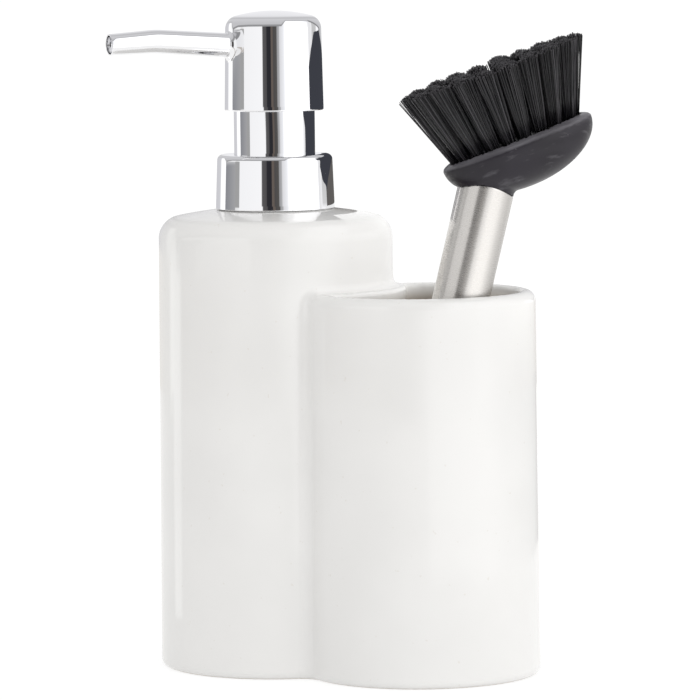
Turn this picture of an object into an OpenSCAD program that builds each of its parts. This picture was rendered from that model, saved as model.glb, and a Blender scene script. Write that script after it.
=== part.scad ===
// Soap pump caddy: a glazed ceramic bottle with a lotion pump, joined to a round cup that holds a brush.
// Millimetres, +Z up. The origin is on the pump's axis at the foot, and +X runs to the axis of the cup.

/* [Ceramic] */
// Radius of the bottle at its foot
bottle_foot_r = 38.6; // [36:0.1:42]
// Height of the dome over the bottle's axis, were there no neck hole
bottle_h = 148.3; // [140:0.1:170]
// Radius of the curve of the bottle's domed top
dome_r = 166; // [120:1:240]
// Radius of the bottle's rounded shoulder
shoulder_r = 5.5; // [5.2:0.1:9]
// Radius of the cup at its foot
cup_foot_r = 37.9; // [36:0.1:40]
// Height of the cup's rim
cup_h = 122.2; // [100:0.1:126]
// Distance between the bottle's axis and the cup's axis
cup_x = 51.5; // [49:0.1:55]
// Draft of the outer walls in degrees
wall_draft = 0.4; // [0.1:0.05:0.8]
// Thickness of the ceramic wall
wall_t = 4.5; // [3.5:0.1:5]
// Thickness of the floors
floor_t = 5.5; // [4:0.1:8]
// Radius of the rounded lower edge
foot_round = 2.3; // [1.5:0.1:3]
// Radius of the rounding on the outside of the cup's rim
rim_round = 3.2; // [2.6:0.1:3.4]
// Radius of the valley fillets between the bottle and the cup at the foot
valley_r = 3.6; // [3:0.1:6]
// Width of the ledge between the bottle's wall and the cup's opening
ledge_w = 4.1; // [3:0.1:6]
// Radius of the fillet between the bottle's wall and that ledge
ledge_fillet = 2.8; // [2:0.1:2.9]
// Radius of the rounded ends of the crescent opening
horn_r = 6; // [4.5:0.1:8]
// Radius of the rounding where the cup's wall meets its floor
floor_round = 3.5; // [2:0.1:4]
// Radius of the hole in the bottle's top
neck_hole_r = 15; // [14.9:0.1:16]

/* [Neck insert] */
// Height of the insert's neck above its flange
neck_h = 9.8; // [9:0.1:10.2]
// Outer radius of the neck at the root of its thread
neck_r = 13.2; // [12.9:0.1:13.6]
// Radius of the neck's bore
neck_bore_r = 10.8; // [10:0.1:11.5]
// Thickness of the insert's flange
neck_flange_t = 1.2; // [0.8:0.1:1.6]
// Depth of the insert's sleeve in the ceramic
neck_sleeve_h = 12; // [8:0.5:16]

/* [Closure] */
// Outer radius of the chrome collar at its lower edge
collar_r = 19; // [18.9:0.05:21]
// Outer radius of the chrome collar at its top
collar_top_r = 18.4; // [18.3:0.05:18.8]
// Height of the chrome collar
collar_h = 17.2; // [17:0.1:20]
// Radius of the collar's rounded top edge
collar_round = 1.8; // [1:0.1:2.2]
// Thickness of the chrome collar's wall
collar_t = 0.8; // [0.5:0.05:0.9]
// Outer radius of the chrome guide sleeve
sleeve_r = 13; // [12.5:0.05:13.6]
// Thickness of the guide sleeve's wall
sleeve_t = 0.8; // [0.5:0.05:1.2]
// Inner radius of the threaded cap, over the crests of the thread
cap_bore_r = 14.3; // [14.2:0.05:14.6]

/* [Head] */
// Outer radius of the pump head at its lower rim
head_r = 15.8; // [15.4:0.05:17]
// Outer radius of the pump head under its shoulder
head_top_r = 15.4; // [15.2:0.05:15.7]
// Height of the pump head from its rim to the top of its dome
head_h = 31; // [29:0.1:36]
// Radius of the head's rounded shoulder
head_shoulder_r = 5; // [4:0.1:6]
// Radius of the curve of the head's dome
head_dome_r = 62; // [50:1:90]
// Thickness of the head's shell
head_t = 1; // [0.8:0.05:1.2]
// Visible length of the guide sleeve between the collar and the head
sleeve_gap = 15; // [15:0.1:17]
// Travel of the head when it is pressed
stroke = 13; // [10:0.1:13]

/* [Nozzle] */
// Direction of the nozzle about the pump's axis in degrees
nozzle_turn = -129; // [-160:1:-100]
// Height of the nozzle's axis under the top of the head, measured on the pump's axis
nozzle_drop = 11.6; // [10.8:0.1:12]
// Upward slope of the nozzle's first stretch in degrees
nozzle_rise = 4; // [0:0.5:6]
// Downward slope of the nozzle's last stretch in degrees
nozzle_fall = 2.9; // [1:0.1:20]
// Distance of the bend from the pump's axis along the tube
nozzle_bend_at = 39; // [32:0.5:50]
// Radius of the bend's centre line
nozzle_bend_r = 30; // [20:1:50]
// Length of the last stretch after the bend
nozzle_end = 13; // [8:0.5:24]
// Outer radius of the nozzle where it leaves the head
nozzle_r = 3.68; // [3.4:0.02:4]
// Outer radius of the nozzle at the bend
nozzle_mid_r = 3.5; // [3.2:0.02:3.6]
// Outer radius of the nozzle at its tip
nozzle_tip_r = 3; // [2.7:0.02:3.3]
// Radius of the nozzle's bore
nozzle_bore_r = 2.2; // [1.8:0.05:2.4]

/* [Pump mechanism] */
// Outer radius of the pump's cylinder
cylinder_r = 8; // [7.9:0.05:9]
// Bore radius of the pump's cylinder
cylinder_bore_r = 6.8; // [6.6:0.05:6.9]
// Length of the cylinder under its flange
cylinder_h = 50; // [50:0.5:56]
// Outer radius of the cylinder's flange
cylinder_flange_r = 12.8; // [12.5:0.05:13.2]
// Outer radius of the dip tube
dip_r = 2.9; // [2.8:0.05:3.2]
// Thickness of the dip tube's wall
dip_t = 0.8; // [0.5:0.05:0.9]
// Distance of the dip tube's end from the bottle's floor
dip_clear = 3; // [2:0.5:8]
// Outer radius of the stem
stem_r = 4; // [3.8:0.05:4.2]
// Radius of the stem's channel
stem_bore_r = 1.9; // [1.6:0.05:2]
// Radius of the two valve balls
ball_r = 2.4; // [2.3:0.05:2.6]
// Travel of the two valve balls
ball_travel = 1.4; // [1:0.1:1.5]
// Diameter of the spring's wire
spring_wire = 0.9; // [0.6:0.05:1]
// Radius of the spring to the middle of its wire
spring_r = 4.6; // [4.4:0.05:4.8]
// Number of turns of the spring
spring_turns = 7; // [5:1:8]

/* [Brush] */
// Distance that the leaning handle runs across the cup between its floor and its rim
handle_run = 27.73; // [24:0.01:30]
// Direction of the handle's lean about the vertical in degrees
brush_lean_turn = 23.9; // [20:0.1:28]
// Turn of the brush about its own handle in degrees
brush_roll = 9; // [0:0.5:14]
// Place on the cup's rim where the handle rests, in degrees about the cup's axis
brush_rest_turn = -27; // [-32:0.5:-22]
// Outer radius of the handle's tube
handle_r = 8.85; // [8:0.05:9.2]
// Thickness of the handle's tube
handle_t = 1.2; // [0.8:0.05:1.6]
// Length of the handle to the end of its tube at the sides
handle_h = 151; // [144:0.5:170]
// Radius of the shallow curve that the tube's upper end is cut to
handle_cut_r = 19; // [14:0.5:40]
// Radius of the rounded edge of the handle's foot
handle_foot_round = 2.5; // [1.5:0.1:3.5]
// Angle between the brush head and a square cut of the handle in degrees
head_angle = 34.1; // [25:0.1:40]
// Half length of the brush head
pad_l = 24.8; // [24:0.1:28]
// Half width of the brush head
pad_w = 13.8; // [13.4:0.1:16]
// Depth of the brush head under its widest line
pad_depth = 14; // [12:0.1:16]
// Height of the brush head's lip over its widest line
pad_lip = 3.6; // [2.5:0.1:4.5]
// Distance from the handle's axis to the middle of the head
pad_shift = 10.6; // [9:0.1:13]
// Length of the bristles over their backing
bristle_h = 24.2; // [20:0.1:28]
// Radius of a strand
strand_r = 0.36; // [0.25:0.01:0.4]
// Radius of a tuft at its root, to the middle of its outer strands
tuft_r = 1.42; // [1.2:0.02:1.5]
// Number of tufts in each ring, from the outside in
ring_tufts = [18, 12, 5];

/* [Hidden] */

// Smoothness of the curves, of the ceramic's turned walls and small roundings, and of very flat domes
$fn = 96;
ceramic_fn = 72;
round_fn = 24;
dome_fn = 180;
// Overrun of every cut
over = 1;
// Depth by which a rounding runs into the flat beside it, so that two roundings never touch in one point
dip = 0.1;
// Gap between pieces that rest on each other but move apart
seat_gap = 0.3;
// Gap between pieces that are pressed or glued together
press_gap = 0.05;
// Radial clearance of a piece that slides in another
slide_gap = 0.06;

// Ceramic
draft_share = tan(wall_draft);
shoulder_x = bottle_foot_r - bottle_h * draft_share - shoulder_r;
dome_z = bottle_h - dome_r;
shoulder_z = dome_z + sqrt(pow(dome_r - shoulder_r, 2) - pow(shoulder_x, 2));
ledge_r = bottle_foot_r - cup_h * draft_share + ledge_w;
cup_bore_r = cup_foot_r - cup_h * draft_share - wall_t;
edge_round = wall_t - rim_round;
cavity_r = bottle_foot_r - bottle_h * draft_share - wall_t;
cavity_round = floor_round * 2;
// The flat that the neck's flange rests on, a little wider than the flange
land_r = neck_hole_r + neck_flange_t * 2;
land_z = dome_z + sqrt(pow(dome_r, 2) - pow(land_r, 2));
// Centre of a circle that touches circles a about the bottle and b about the cup
function meet_x(a, b) = (a * a - b * b + cup_x * cup_x) / (2 * cup_x);
function meet_y(a, b) = sqrt(a * a - pow(meet_x(a, b), 2));
valley_a = bottle_foot_r + valley_r;
valley_b = cup_foot_r + valley_r;
valley_x = meet_x(valley_a, valley_b);
valley_y = meet_y(valley_a, valley_b);
horn_a = ledge_r + horn_r;
horn_b = cup_bore_r - horn_r;
horn_x = meet_x(horn_a, horn_b);
horn_y = meet_y(horn_a, horn_b);

// Stack of the closure and the pump
neck_z = land_z + neck_flange_t;
neck_top = neck_z + neck_h;
gasket_t = 1;
cylinder_flange_t = 1.3;
gasket_z = neck_top + press_gap;
cylinder_top = gasket_z + gasket_t + cylinder_flange_t;
collar_z = land_z + seat_gap;
collar_top = collar_z + collar_h;
sleeve_foot_t = sleeve_t;
sleeve_foot_z = collar_top - collar_t - press_gap - sleeve_foot_t;
cap_web_top = sleeve_foot_z - press_gap;
cap_web_t = collar_t * 1.6;
ring_flange_z = cylinder_top + press_gap;
ring_flange_t = cap_web_top - cap_web_t - press_gap - ring_flange_z;
head_z = collar_top + sleeve_gap;
head_top = head_z + head_h;
sleeve_top = head_z + sleeve_t * 2;
head_bore_r = head_top_r - head_t;
core_z = sleeve_top + stroke + sleeve_t;

// Mechanism
cylinder_wall = cylinder_r - cylinder_bore_r;
cylinder_z = cylinder_top - cylinder_h;
socket_r = dip_r + cylinder_wall;
socket_h = dip_r * 4;
inlet_share = 0.6;
inlet_r = ball_r * inlet_share;
// The seat is a cone of 45 degrees, and the ball rests in it
seat_h = cylinder_bore_r - inlet_r;
seat_z = cylinder_z + seat_h;
inlet_ball_z = cylinder_z + (ball_r + press_gap) * sqrt(2) - inlet_r;
cage_z = seat_z + ball_r;
cage_t = spring_wire * 1.4;
cage_hole_r = spring_r - spring_wire * 1.2;
piston_h = cylinder_bore_r * 1.35;
spring_foot = cage_z + cage_t;
spring_h = stroke + spring_turns * spring_wire * 1.5;
piston_z = spring_foot + spring_h + press_gap;
stem_z = piston_z + spring_wire * 2;
// The lock ring's plug is the piston's upper stop
ring_h = cylinder_top - piston_z - piston_h - seat_gap;
ring_collar_h = ring_h / 2;
boss_z = ring_flange_z + ring_flange_t + ring_collar_h + stroke + sleeve_t;
nozzle_z = head_top - nozzle_drop;
stem_top = nozzle_z - nozzle_r - ball_r * 2 - ball_travel - seat_gap;
seat_share = 0.62;
outlet_ball_z = stem_top + ball_r * seat_share;
chamber_r = ball_r + seat_gap;
chamber_top = outlet_ball_z + ball_r + ball_travel + seat_gap;
boss_r = stem_r + head_t * 2;

// Head outline
head_shoulder_x = head_top_r - head_shoulder_r;
head_dome_z = head_top - head_dome_r;
head_shoulder_z = head_dome_z + sqrt(pow(head_dome_r - head_shoulder_r, 2) - pow(head_shoulder_x, 2));

// Nozzle
nozzle_start = nozzle_bore_r * 2;
nozzle_bend_turn = nozzle_rise + nozzle_fall;
nozzle_taper = (nozzle_r - nozzle_mid_r) / (nozzle_bend_at - head_r);
nozzle_back_r = nozzle_mid_r + nozzle_taper * (nozzle_bend_at - nozzle_start);
nozzle_flare = head_t * 1.2;
// The bend is a little thicker and longer than what it joins, so that the three stretches make one piece
lap = 0.02;
lap_turn = 0.3;

// Brush
brush_lean = atan(handle_run / (cup_h - floor_t - seat_gap));
handle_bore_r = handle_r - handle_t;
handle_foot_t = handle_foot_round * 2;
handle_drop = (handle_r - handle_foot_round) * sin(brush_lean)
    + handle_foot_round * (1 - cos(brush_lean));
brush_z = floor_t + seat_gap + handle_drop;
brush_rest_r = cup_bore_r - handle_r / cos(brush_lean) - seat_gap;
brush_run = (cup_h - brush_z) * tan(brush_lean);
brush_x = cup_x + brush_rest_r * cos(brush_rest_turn) - brush_run * cos(brush_lean_turn);
brush_y = brush_rest_r * sin(brush_rest_turn) - brush_run * sin(brush_lean_turn);
// Middle of the head over the end of the tube
pad_joint = handle_h + handle_r - handle_t;
pad_line = handle_r / 2;
pocket_l = pad_l - handle_t * 2.5;
pocket_w = pad_w - handle_t * 2.4;
pocket_depth = pad_lip;
backing_t = strand_r * 3;
block_gap = press_gap;
tuft_gap = tuft_r * 2 + strand_r * 3;
ring_l = pocket_l - tuft_r - strand_r * 2;
ring_w = pocket_w - tuft_r - strand_r;
flare_l_share = 1.38;
flare_w_share = 1.6;
tuft_flare_share = 1.9;
// Number of strands in the outer and the inner circle of a tuft, and the inner circle's share
strand_counts = [8, 4];
strand_circle_shares = [1, 0.43];
// Uneven height of the tufts as a share of the bristles
tuft_uneven_share = 0.03;
embed = strand_r;

// Filled profile of the bottle, right of its axis
module bottle_profile() {
    foot_x = bottle_foot_r - foot_round;
    shoulder_ray = (bottle_h + over - dome_z) / (shoulder_z - dome_z);
    square([foot_x, foot_round]);
    translate([foot_x, foot_round]) circle(foot_round, $fn = round_fn);
    polygon([
        [0, foot_round], [bottle_foot_r, foot_round],
        [shoulder_x + shoulder_r, shoulder_z], [0, shoulder_z]
    ]);
    translate([shoulder_x, shoulder_z]) circle(shoulder_r, $fn = round_fn);
    intersection() {
        translate([0, dome_z]) circle(dome_r, $fn = dome_fn);
        polygon([
            [0, shoulder_z - over], [shoulder_x, shoulder_z - over], [shoulder_x, shoulder_z],
            [shoulder_x * shoulder_ray, bottle_h + over], [0, bottle_h + over]
        ]);
    }
}

// Filled profile of the cup, right of its axis
module cup_profile() {
    foot_x = cup_foot_r - foot_round;
    rim_r = cup_foot_r - cup_h * draft_share;
    square([foot_x, foot_round]);
    translate([foot_x, foot_round - dip]) circle(foot_round, $fn = round_fn);
    polygon([
        [0, foot_round - dip], [cup_foot_r, foot_round - dip], [rim_r, cup_h - rim_round],
        [0, cup_h - rim_round]
    ]);
    translate([rim_r - rim_round, cup_h - rim_round]) circle(rim_round, $fn = round_fn);
    square([rim_r - rim_round, cup_h]);
}

// A quarter hollow that rounds an edge at [x, z]: sx and sz say which way the hollow opens
module edge_hollow(x, z, r, sx, sz) {
    difference() {
        translate([sx < 0 ? x - r : x, sz < 0 ? z - r : z]) square(r);
        translate([x + sx * r, z + sz * r]) circle(r, $fn = round_fn);
    }
}

// Cutter of one valley fillet, which widens with height as the drafted walls draw in
module valley_cutter() {
    foot_r = valley_r + press_gap;
    top_r = foot_r + cup_h * draft_share;
    rotate_extrude($fn = ceramic_fn) {
        polygon([[0, -over], [foot_r, -over], [foot_r, 0], [top_r, cup_h], [top_r, cup_h + over], [0, cup_h + over]]);
        edge_hollow(foot_r, -dip * 2, foot_round, 1, 1);
        edge_hollow(top_r, cup_h + dip, rim_round, 1, -1);
    }
}

module valley_web() {
    difference() {
        linear_extrude(cup_h)
            polygon([[0, 0], [valley_x, -valley_y], [cup_x, 0], [valley_x, valley_y]]);
        for (side = [-1, 1])
            translate([valley_x, side * valley_y, 0]) valley_cutter();
    }
}

// Concave fillet that leads from the bottle's wall to the ledge beside the opening
module ledge_web() {
    root = wall_t / 2;
    root_r = bottle_foot_r - cup_h * draft_share - dip - root;
    intersection() {
        rotate_extrude($fn = ceramic_fn)
            translate([root_r, cup_h - root - dip])
            difference() {
                square(root + ledge_fillet);
                translate([root + ledge_fillet, root + ledge_fillet]) circle(ledge_fillet, $fn = round_fn);
            }
        translate([cup_x, 0, cup_h - wall_t])
            cylinder(h = wall_t * 2, r = cup_foot_r - cup_h * draft_share - rim_round - dip, $fn = ceramic_fn);
    }
}

// Filled profile of a round well of radius r, with a floor and a mouth that are rounded
module well_profile(r, floor_dip, mouth_dip) {
    square([r - floor_round, cup_h - floor_t + over]);
    translate([0, floor_round - floor_dip]) square([r, cup_h - floor_t - floor_round + over]);
    translate([r - floor_round, floor_round - floor_dip]) circle(floor_round, $fn = round_fn);
    edge_hollow(r, cup_h - floor_t + mouth_dip, edge_round, 1, -1);
}

module well(r, floor_dip, mouth_dip) {
    translate([0, 0, floor_t])
        rotate_extrude($fn = ceramic_fn)
        intersection() {
            well_profile(r, floor_dip, mouth_dip);
            square([r + edge_round, cup_h - floor_t + over]);
        }
}

// The wall that the cup's opening leaves standing beside the bottle
module ledge_wall() {
    top = cup_h + dip * 3;
    rotate_extrude($fn = ceramic_fn) {
        square([ledge_r, top - edge_round]);
        square([ledge_r - edge_round, top + over * 2]);
        translate([ledge_r - edge_round, top - edge_round]) circle(edge_round, $fn = round_fn);
        edge_hollow(ledge_r, floor_t - dip, floor_round, 1, 1);
    }
}

// Wedge between the two touching lines of a horn's rounding
module horn_wedge() {
    to_cup = [horn_x - cup_x, horn_y] / horn_b;
    to_ledge = -[horn_x, horn_y] / horn_a;
    translate([horn_x, horn_y, -over])
        linear_extrude(cup_h + over * 3)
        polygon([[0, 0], to_ledge * cup_foot_r, (to_ledge + to_cup) * cup_foot_r, to_cup * cup_foot_r]);
}

// The crescent hollow of the cup
module cup_hollow() {
    difference() {
        translate([cup_x, 0, 0]) well(cup_bore_r, 0, dip * 2);
        ledge_wall();
        for (side = [0, 1])
            mirror([0, side, 0]) horn_wedge();
    }
    for (side = [-1, 1])
        translate([horn_x, side * horn_y, 0]) well(horn_r + press_gap, dip * 2, dip);
}

// The soap's hollow in the bottle, with the hole for the neck insert
module bottle_hollow() {
    hollow_top = dome_z + sqrt(pow(dome_r, 2) - pow(cavity_r, 2)) - wall_t;
    rotate_extrude($fn = ceramic_fn) {
        square_x = cavity_r - cavity_round;
        translate([0, floor_t]) square([square_x, hollow_top - floor_t]);
        translate([0, floor_t + cavity_round])
            square([cavity_r, hollow_top - floor_t - cavity_round * 2]);
        for (z = [floor_t + cavity_round, hollow_top - cavity_round])
            translate([square_x, z]) circle(cavity_round, $fn = round_fn);
        translate([0, hollow_top - over]) square([neck_hole_r, bottle_h]);
        translate([0, land_z]) square([land_r + over, bottle_h]);
    }
}

module ceramic_body() {
    color("white")
    difference() {
        union() {
            rotate_extrude($fn = ceramic_fn)
                intersection() {
                    bottle_profile();
                    square([bottle_foot_r, bottle_h + over]);
                }
            translate([cup_x, 0, 0])
                rotate_extrude($fn = ceramic_fn)
                intersection() {
                    cup_profile();
                    square([cup_foot_r, cup_h + over]);
                }
            valley_web();
            ledge_web();
        }
        cup_hollow();
        bottle_hollow();
    }
}

// A straight tube from z to z + h
module tube(z, h, outer_r, inner_r) {
    translate([0, 0, z])
        difference() {
            cylinder(h = h, r = outer_r);
            translate([0, 0, -over]) cylinder(h = h + over * 2, r = inner_r);
        }
}

module neck_insert() {
    sleeve_z = land_z - neck_sleeve_h;
    sleeve_r_out = neck_hole_r - press_gap * 2;
    rib_count = 4;
    rib_pitch = neck_sleeve_h / (rib_count + 1);
    rib_depth = press_gap * 8;
    color("whitesmoke")
    rotate_extrude()
        difference() {
            union() {
                translate([neck_bore_r, sleeve_z]) square([sleeve_r_out - neck_bore_r, neck_sleeve_h]);
                translate([neck_bore_r, land_z]) square([land_r - press_gap * 4 - neck_bore_r, neck_flange_t]);
                translate([neck_bore_r, neck_z]) square([neck_r - neck_bore_r, neck_h]);
            }
            // Grooves that the glue fills
            for (i = [1 : rib_count])
                translate([sleeve_r_out - rib_depth, sleeve_z + i * rib_pitch - rib_depth])
                    square([neck_r, rib_depth * 2]);
        }
}

module neck_gasket() {
    color("gainsboro") tube(gasket_z, gasket_t, cylinder_flange_r, neck_bore_r);
}

module threaded_cap() {
    cap_top_r = collar_top_r - collar_t - press_gap;
    cap_foot_r = collar_r - collar_t - press_gap;
    cap_z = neck_z + seat_gap;
    web_z = cap_web_top - cap_web_t;
    flank = collar_round;
    color("white")
    rotate_extrude()
        polygon([
            [cap_bore_r, cap_z], [cap_bore_r, web_z], [cylinder_r + over, web_z],
            [cylinder_r + over, cap_web_top], [cap_top_r - flank, cap_web_top],
            [cap_top_r, cap_web_top - flank],
            [cap_foot_r, cap_z]
        ]);
}

module collar_shell() {
    inner_top = collar_top - collar_t;
    color("silver")
    rotate_extrude()
        difference() {
            union() {
                polygon([
                    [0, collar_z], [collar_r, collar_z], [collar_top_r, collar_top - collar_round],
                    [0, collar_top - collar_round]
                ]);
                intersection() {
                    translate([collar_top_r - collar_round, collar_top - collar_round]) circle(collar_round);
                    translate([0, collar_z]) square([collar_r, collar_h]);
                }
                translate([0, collar_z]) square([collar_top_r - collar_round, collar_h]);
            }
            polygon([
                [0, collar_z - over], [collar_r - collar_t, collar_z - over],
                [collar_r - collar_t, collar_z], [collar_top_r - collar_t, inner_top - collar_round],
                [collar_top_r - collar_round, inner_top], [0, inner_top]
            ]);
            square([sleeve_r + press_gap, collar_top + over]);
        }
}

module guide_sleeve() {
    foot_r = sleeve_r + collar_round;
    color("silver") {
        difference() {
            union() {
                translate([0, 0, sleeve_foot_z]) cylinder(h = sleeve_foot_t, r = foot_r);
                translate([0, 0, sleeve_foot_z]) cylinder(h = sleeve_top - sleeve_foot_z, r = sleeve_r);
            }
            translate([0, 0, sleeve_foot_z - over])
                cylinder(h = sleeve_top - sleeve_foot_z + over * 2, r = sleeve_r - sleeve_t);
        }
    }
}

module pump_cylinder() {
    vent_r = spring_wire;
    color("white")
    difference() {
        rotate_extrude()
            polygon([
                [dip_r + press_gap, cylinder_z - socket_h], [socket_r, cylinder_z - socket_h],
                [socket_r, cylinder_z - cylinder_wall], [cylinder_r, seat_z],
                [cylinder_r, cylinder_top - cylinder_flange_t], [cylinder_flange_r, cylinder_top - cylinder_flange_t],
                [cylinder_flange_r, cylinder_top], [cylinder_bore_r, cylinder_top],
                [cylinder_bore_r, seat_z], [inlet_r, cylinder_z],
                [inlet_r, cylinder_z - cylinder_wall], [dip_r + press_gap, cylinder_z - cylinder_wall]
            ]);
        // Vent that lets air into the bottle as soap leaves it
        translate([0, 0, piston_z + piston_h / 2])
            rotate([90, 0, 0])
            cylinder(h = cylinder_r + over, r = vent_r);
    }
}

module lock_ring() {
    bore_r = stem_r + slide_gap;
    plug_r = cylinder_bore_r - press_gap;
    collar_out = cylinder_r - cylinder_wall / 2;
    color("white")
    rotate_extrude()
        polygon([
            [bore_r, cylinder_top - ring_h], [plug_r, cylinder_top - ring_h], [plug_r, ring_flange_z],
            [cylinder_flange_r, ring_flange_z], [cylinder_flange_r, ring_flange_z + ring_flange_t],
            [collar_out, ring_flange_z + ring_flange_t],
            [collar_out, ring_flange_z + ring_flange_t + ring_collar_h],
            [bore_r, ring_flange_z + ring_flange_t + ring_collar_h]
        ]);
}

module dip_tube() {
    top = cylinder_z - cylinder_wall;
    foot = floor_t + dip_clear;
    color("whitesmoke")
    difference() {
        tube(foot, top - foot, dip_r, dip_r - dip_t);
        // Slanted end, so that the tube still draws when it stands on the floor
        translate([0, 0, foot])
            rotate([0, 45, 0])
            translate([0, 0, -dip_r * 4])
            cube([dip_r * 8, dip_r * 4, dip_r * 8], center = true);
    }
}

module valve_cage() {
    bar = spring_wire;
    color("white") {
        tube(cage_z, cage_t, cylinder_bore_r - press_gap, cage_hole_r);
        intersection() {
            translate([0, 0, cage_z]) cylinder(h = cage_t, r = spring_r);
            union()
                for (i = [0 : 1])
                    rotate([0, 0, i * 90])
                    translate([-spring_r, -bar / 2, cage_z])
                    cube([spring_r * 2, bar, cage_t]);
        }
    }
}

module inlet_ball() {
    color("silver") translate([0, 0, inlet_ball_z]) sphere(ball_r);
}

module outlet_ball() {
    color("silver") translate([0, 0, outlet_ball_z]) sphere(ball_r);
}

// Points of a ring of a wire around the middle m of its section, turned by a about the axis
function wire_ring(m, a, z, sides, r) = [
    for (i = [0 : sides - 1])
        let (b = i * 360 / sides, q = m + r * cos(b)) [q * cos(a), q * sin(a), z + r * sin(b)]
];

module return_spring() {
    sides = 6;
    steps = 18;
    rings = spring_turns * steps;
    wire = spring_wire / 2;
    rise = spring_h - spring_wire;
    points = [
        for (k = [0 : rings])
            each wire_ring(spring_r, k * 360 / steps, spring_foot + wire + rise * k / rings, sides, wire)
    ];
    walls = [
        for (k = [0 : rings - 1])
            for (i = [0 : sides - 1])
                let (a = k * sides + i, b = k * sides + (i + 1) % sides)
                    each [[a, b, b + sides], [a, b + sides, a + sides]]
    ];
    caps = [[for (i = [sides - 1 : -1 : 0]) i], [for (i = [0 : sides - 1]) rings * sides + i]];
    color("silver") polyhedron(points, concat(walls, caps), convexity = spring_turns * 2);
}

module piston() {
    slide_r = cylinder_bore_r - slide_gap;
    waist_r = cylinder_bore_r - cylinder_wall;
    lip = piston_h / 5;
    bore_r = stem_r - stem_bore_r / 2 + slide_gap;
    floor_z = stem_z - press_gap;
    color("white")
    rotate_extrude()
        polygon([
            [stem_bore_r, piston_z], [slide_r, piston_z], [slide_r, piston_z + lip],
            [waist_r, piston_z + lip * 2], [waist_r, piston_z + lip * 3], [slide_r, piston_z + lip * 4],
            [slide_r, piston_z + piston_h], [bore_r, piston_z + piston_h],
            [bore_r, floor_z], [stem_bore_r, floor_z]
        ]);
}

module piston_seal() {
    lip = piston_h / 5;
    waist_r = cylinder_bore_r - cylinder_wall;
    seal_r = (cylinder_bore_r - waist_r) / 2;
    color("dimgray")
        translate([0, 0, piston_z + lip * 2.5])
        rotate_extrude()
        translate([waist_r + seal_r, 0])
        circle(seal_r - press_gap);
}

module stem() {
    neck_r_in = stem_r - stem_bore_r / 2;
    neck_top_z = piston_z + piston_h + press_gap;
    port_r = stem_bore_r * 0.8;
    color("white")
    difference() {
        union() {
            translate([0, 0, stem_z]) cylinder(h = stem_top - stem_z, r = neck_r_in);
            translate([0, 0, neck_top_z]) cylinder(h = stem_top - neck_top_z, r = stem_r);
        }
        translate([0, 0, stem_z - over]) cylinder(h = stem_top - stem_z + over * 2, r = stem_bore_r);
        // Seat of the outlet ball
        translate([0, 0, outlet_ball_z]) sphere(ball_r + press_gap);
        // Cross port above the piston
        translate([0, 0, neck_top_z + stem_r])
            rotate([90, 0, 0])
            cylinder(h = stem_r * 4, r = port_r, center = true);
    }
}

// Places its children along the nozzle's first stretch, from the pump's axis outwards
module along_nozzle(at) {
    translate([0, 0, nozzle_z])
        rotate([0, 0, nozzle_turn])
        rotate([0, 90 - nozzle_rise, 0])
        translate([0, 0, at])
        children();
}

// Solid or bore of the nozzle, with radii where it starts, at the bend and at the tip
module nozzle_run(start_r, bend_r, tip_r, extra) {
    along_nozzle(nozzle_start - extra)
        cylinder(h = nozzle_bend_at - nozzle_start + extra, r1 = start_r, r2 = bend_r);
    along_nozzle(nozzle_bend_at)
        translate([nozzle_bend_r, 0, 0])
        rotate([90, 0, 180])
        rotate([0, 0, -lap_turn])
        rotate_extrude(angle = nozzle_bend_turn + lap_turn * 2)
        translate([nozzle_bend_r, 0])
        circle(bend_r + lap);
    along_nozzle(nozzle_bend_at)
        translate([nozzle_bend_r, 0, 0])
        rotate([0, nozzle_bend_turn, 0])
        translate([-nozzle_bend_r, 0, 0])
        cylinder(h = nozzle_end + extra, r1 = bend_r, r2 = tip_r);
}

module nozzle_tube() {
    color("silver")
    difference() {
        nozzle_run(nozzle_back_r, nozzle_mid_r, nozzle_tip_r, 0);
        nozzle_run(nozzle_bore_r, nozzle_bore_r, nozzle_bore_r, over);
    }
}

// Filled profile of the head, drawn in by inset
module head_profile(inset) {
    z = head_z + inset;
    side_r = head_r - inset;
    shoulder_ray = (head_top + over - head_dome_z) / (head_shoulder_z - head_dome_z);
    polygon([[0, z], [side_r, z], [head_top_r - inset, head_shoulder_z], [0, head_shoulder_z]]);
    intersection() {
        translate([head_shoulder_x, head_shoulder_z]) circle(head_shoulder_r - inset);
        translate([0, head_z]) square([head_r, head_h]);
    }
    intersection() {
        translate([0, head_dome_z]) circle(head_dome_r - inset, $fn = dome_fn);
        polygon([
            [0, head_shoulder_z - over], [head_shoulder_x, head_shoulder_z - over],
            [head_shoulder_x, head_shoulder_z], [head_shoulder_x * shoulder_ray, head_top + over],
            [0, head_top + over]
        ]);
    }
}

module head_shell() {
    socket_z = nozzle_back_r + press_gap;
    flare_at = head_top_r - head_t;
    color("silver")
    difference() {
        union() {
            rotate_extrude() head_profile(0);
            // Short flared socket that the nozzle leaves through
            along_nozzle(flare_at) cylinder(h = head_t * 3, r1 = nozzle_r + nozzle_flare * 2, r2 = nozzle_r + nozzle_flare / 2);
        }
        rotate_extrude() head_profile(head_t);
        translate([0, 0, head_z - over]) cylinder(h = head_h / 2, r = head_bore_r);
        along_nozzle(0) cylinder(h = head_r * 2, r = socket_z);
    }
}

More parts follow.
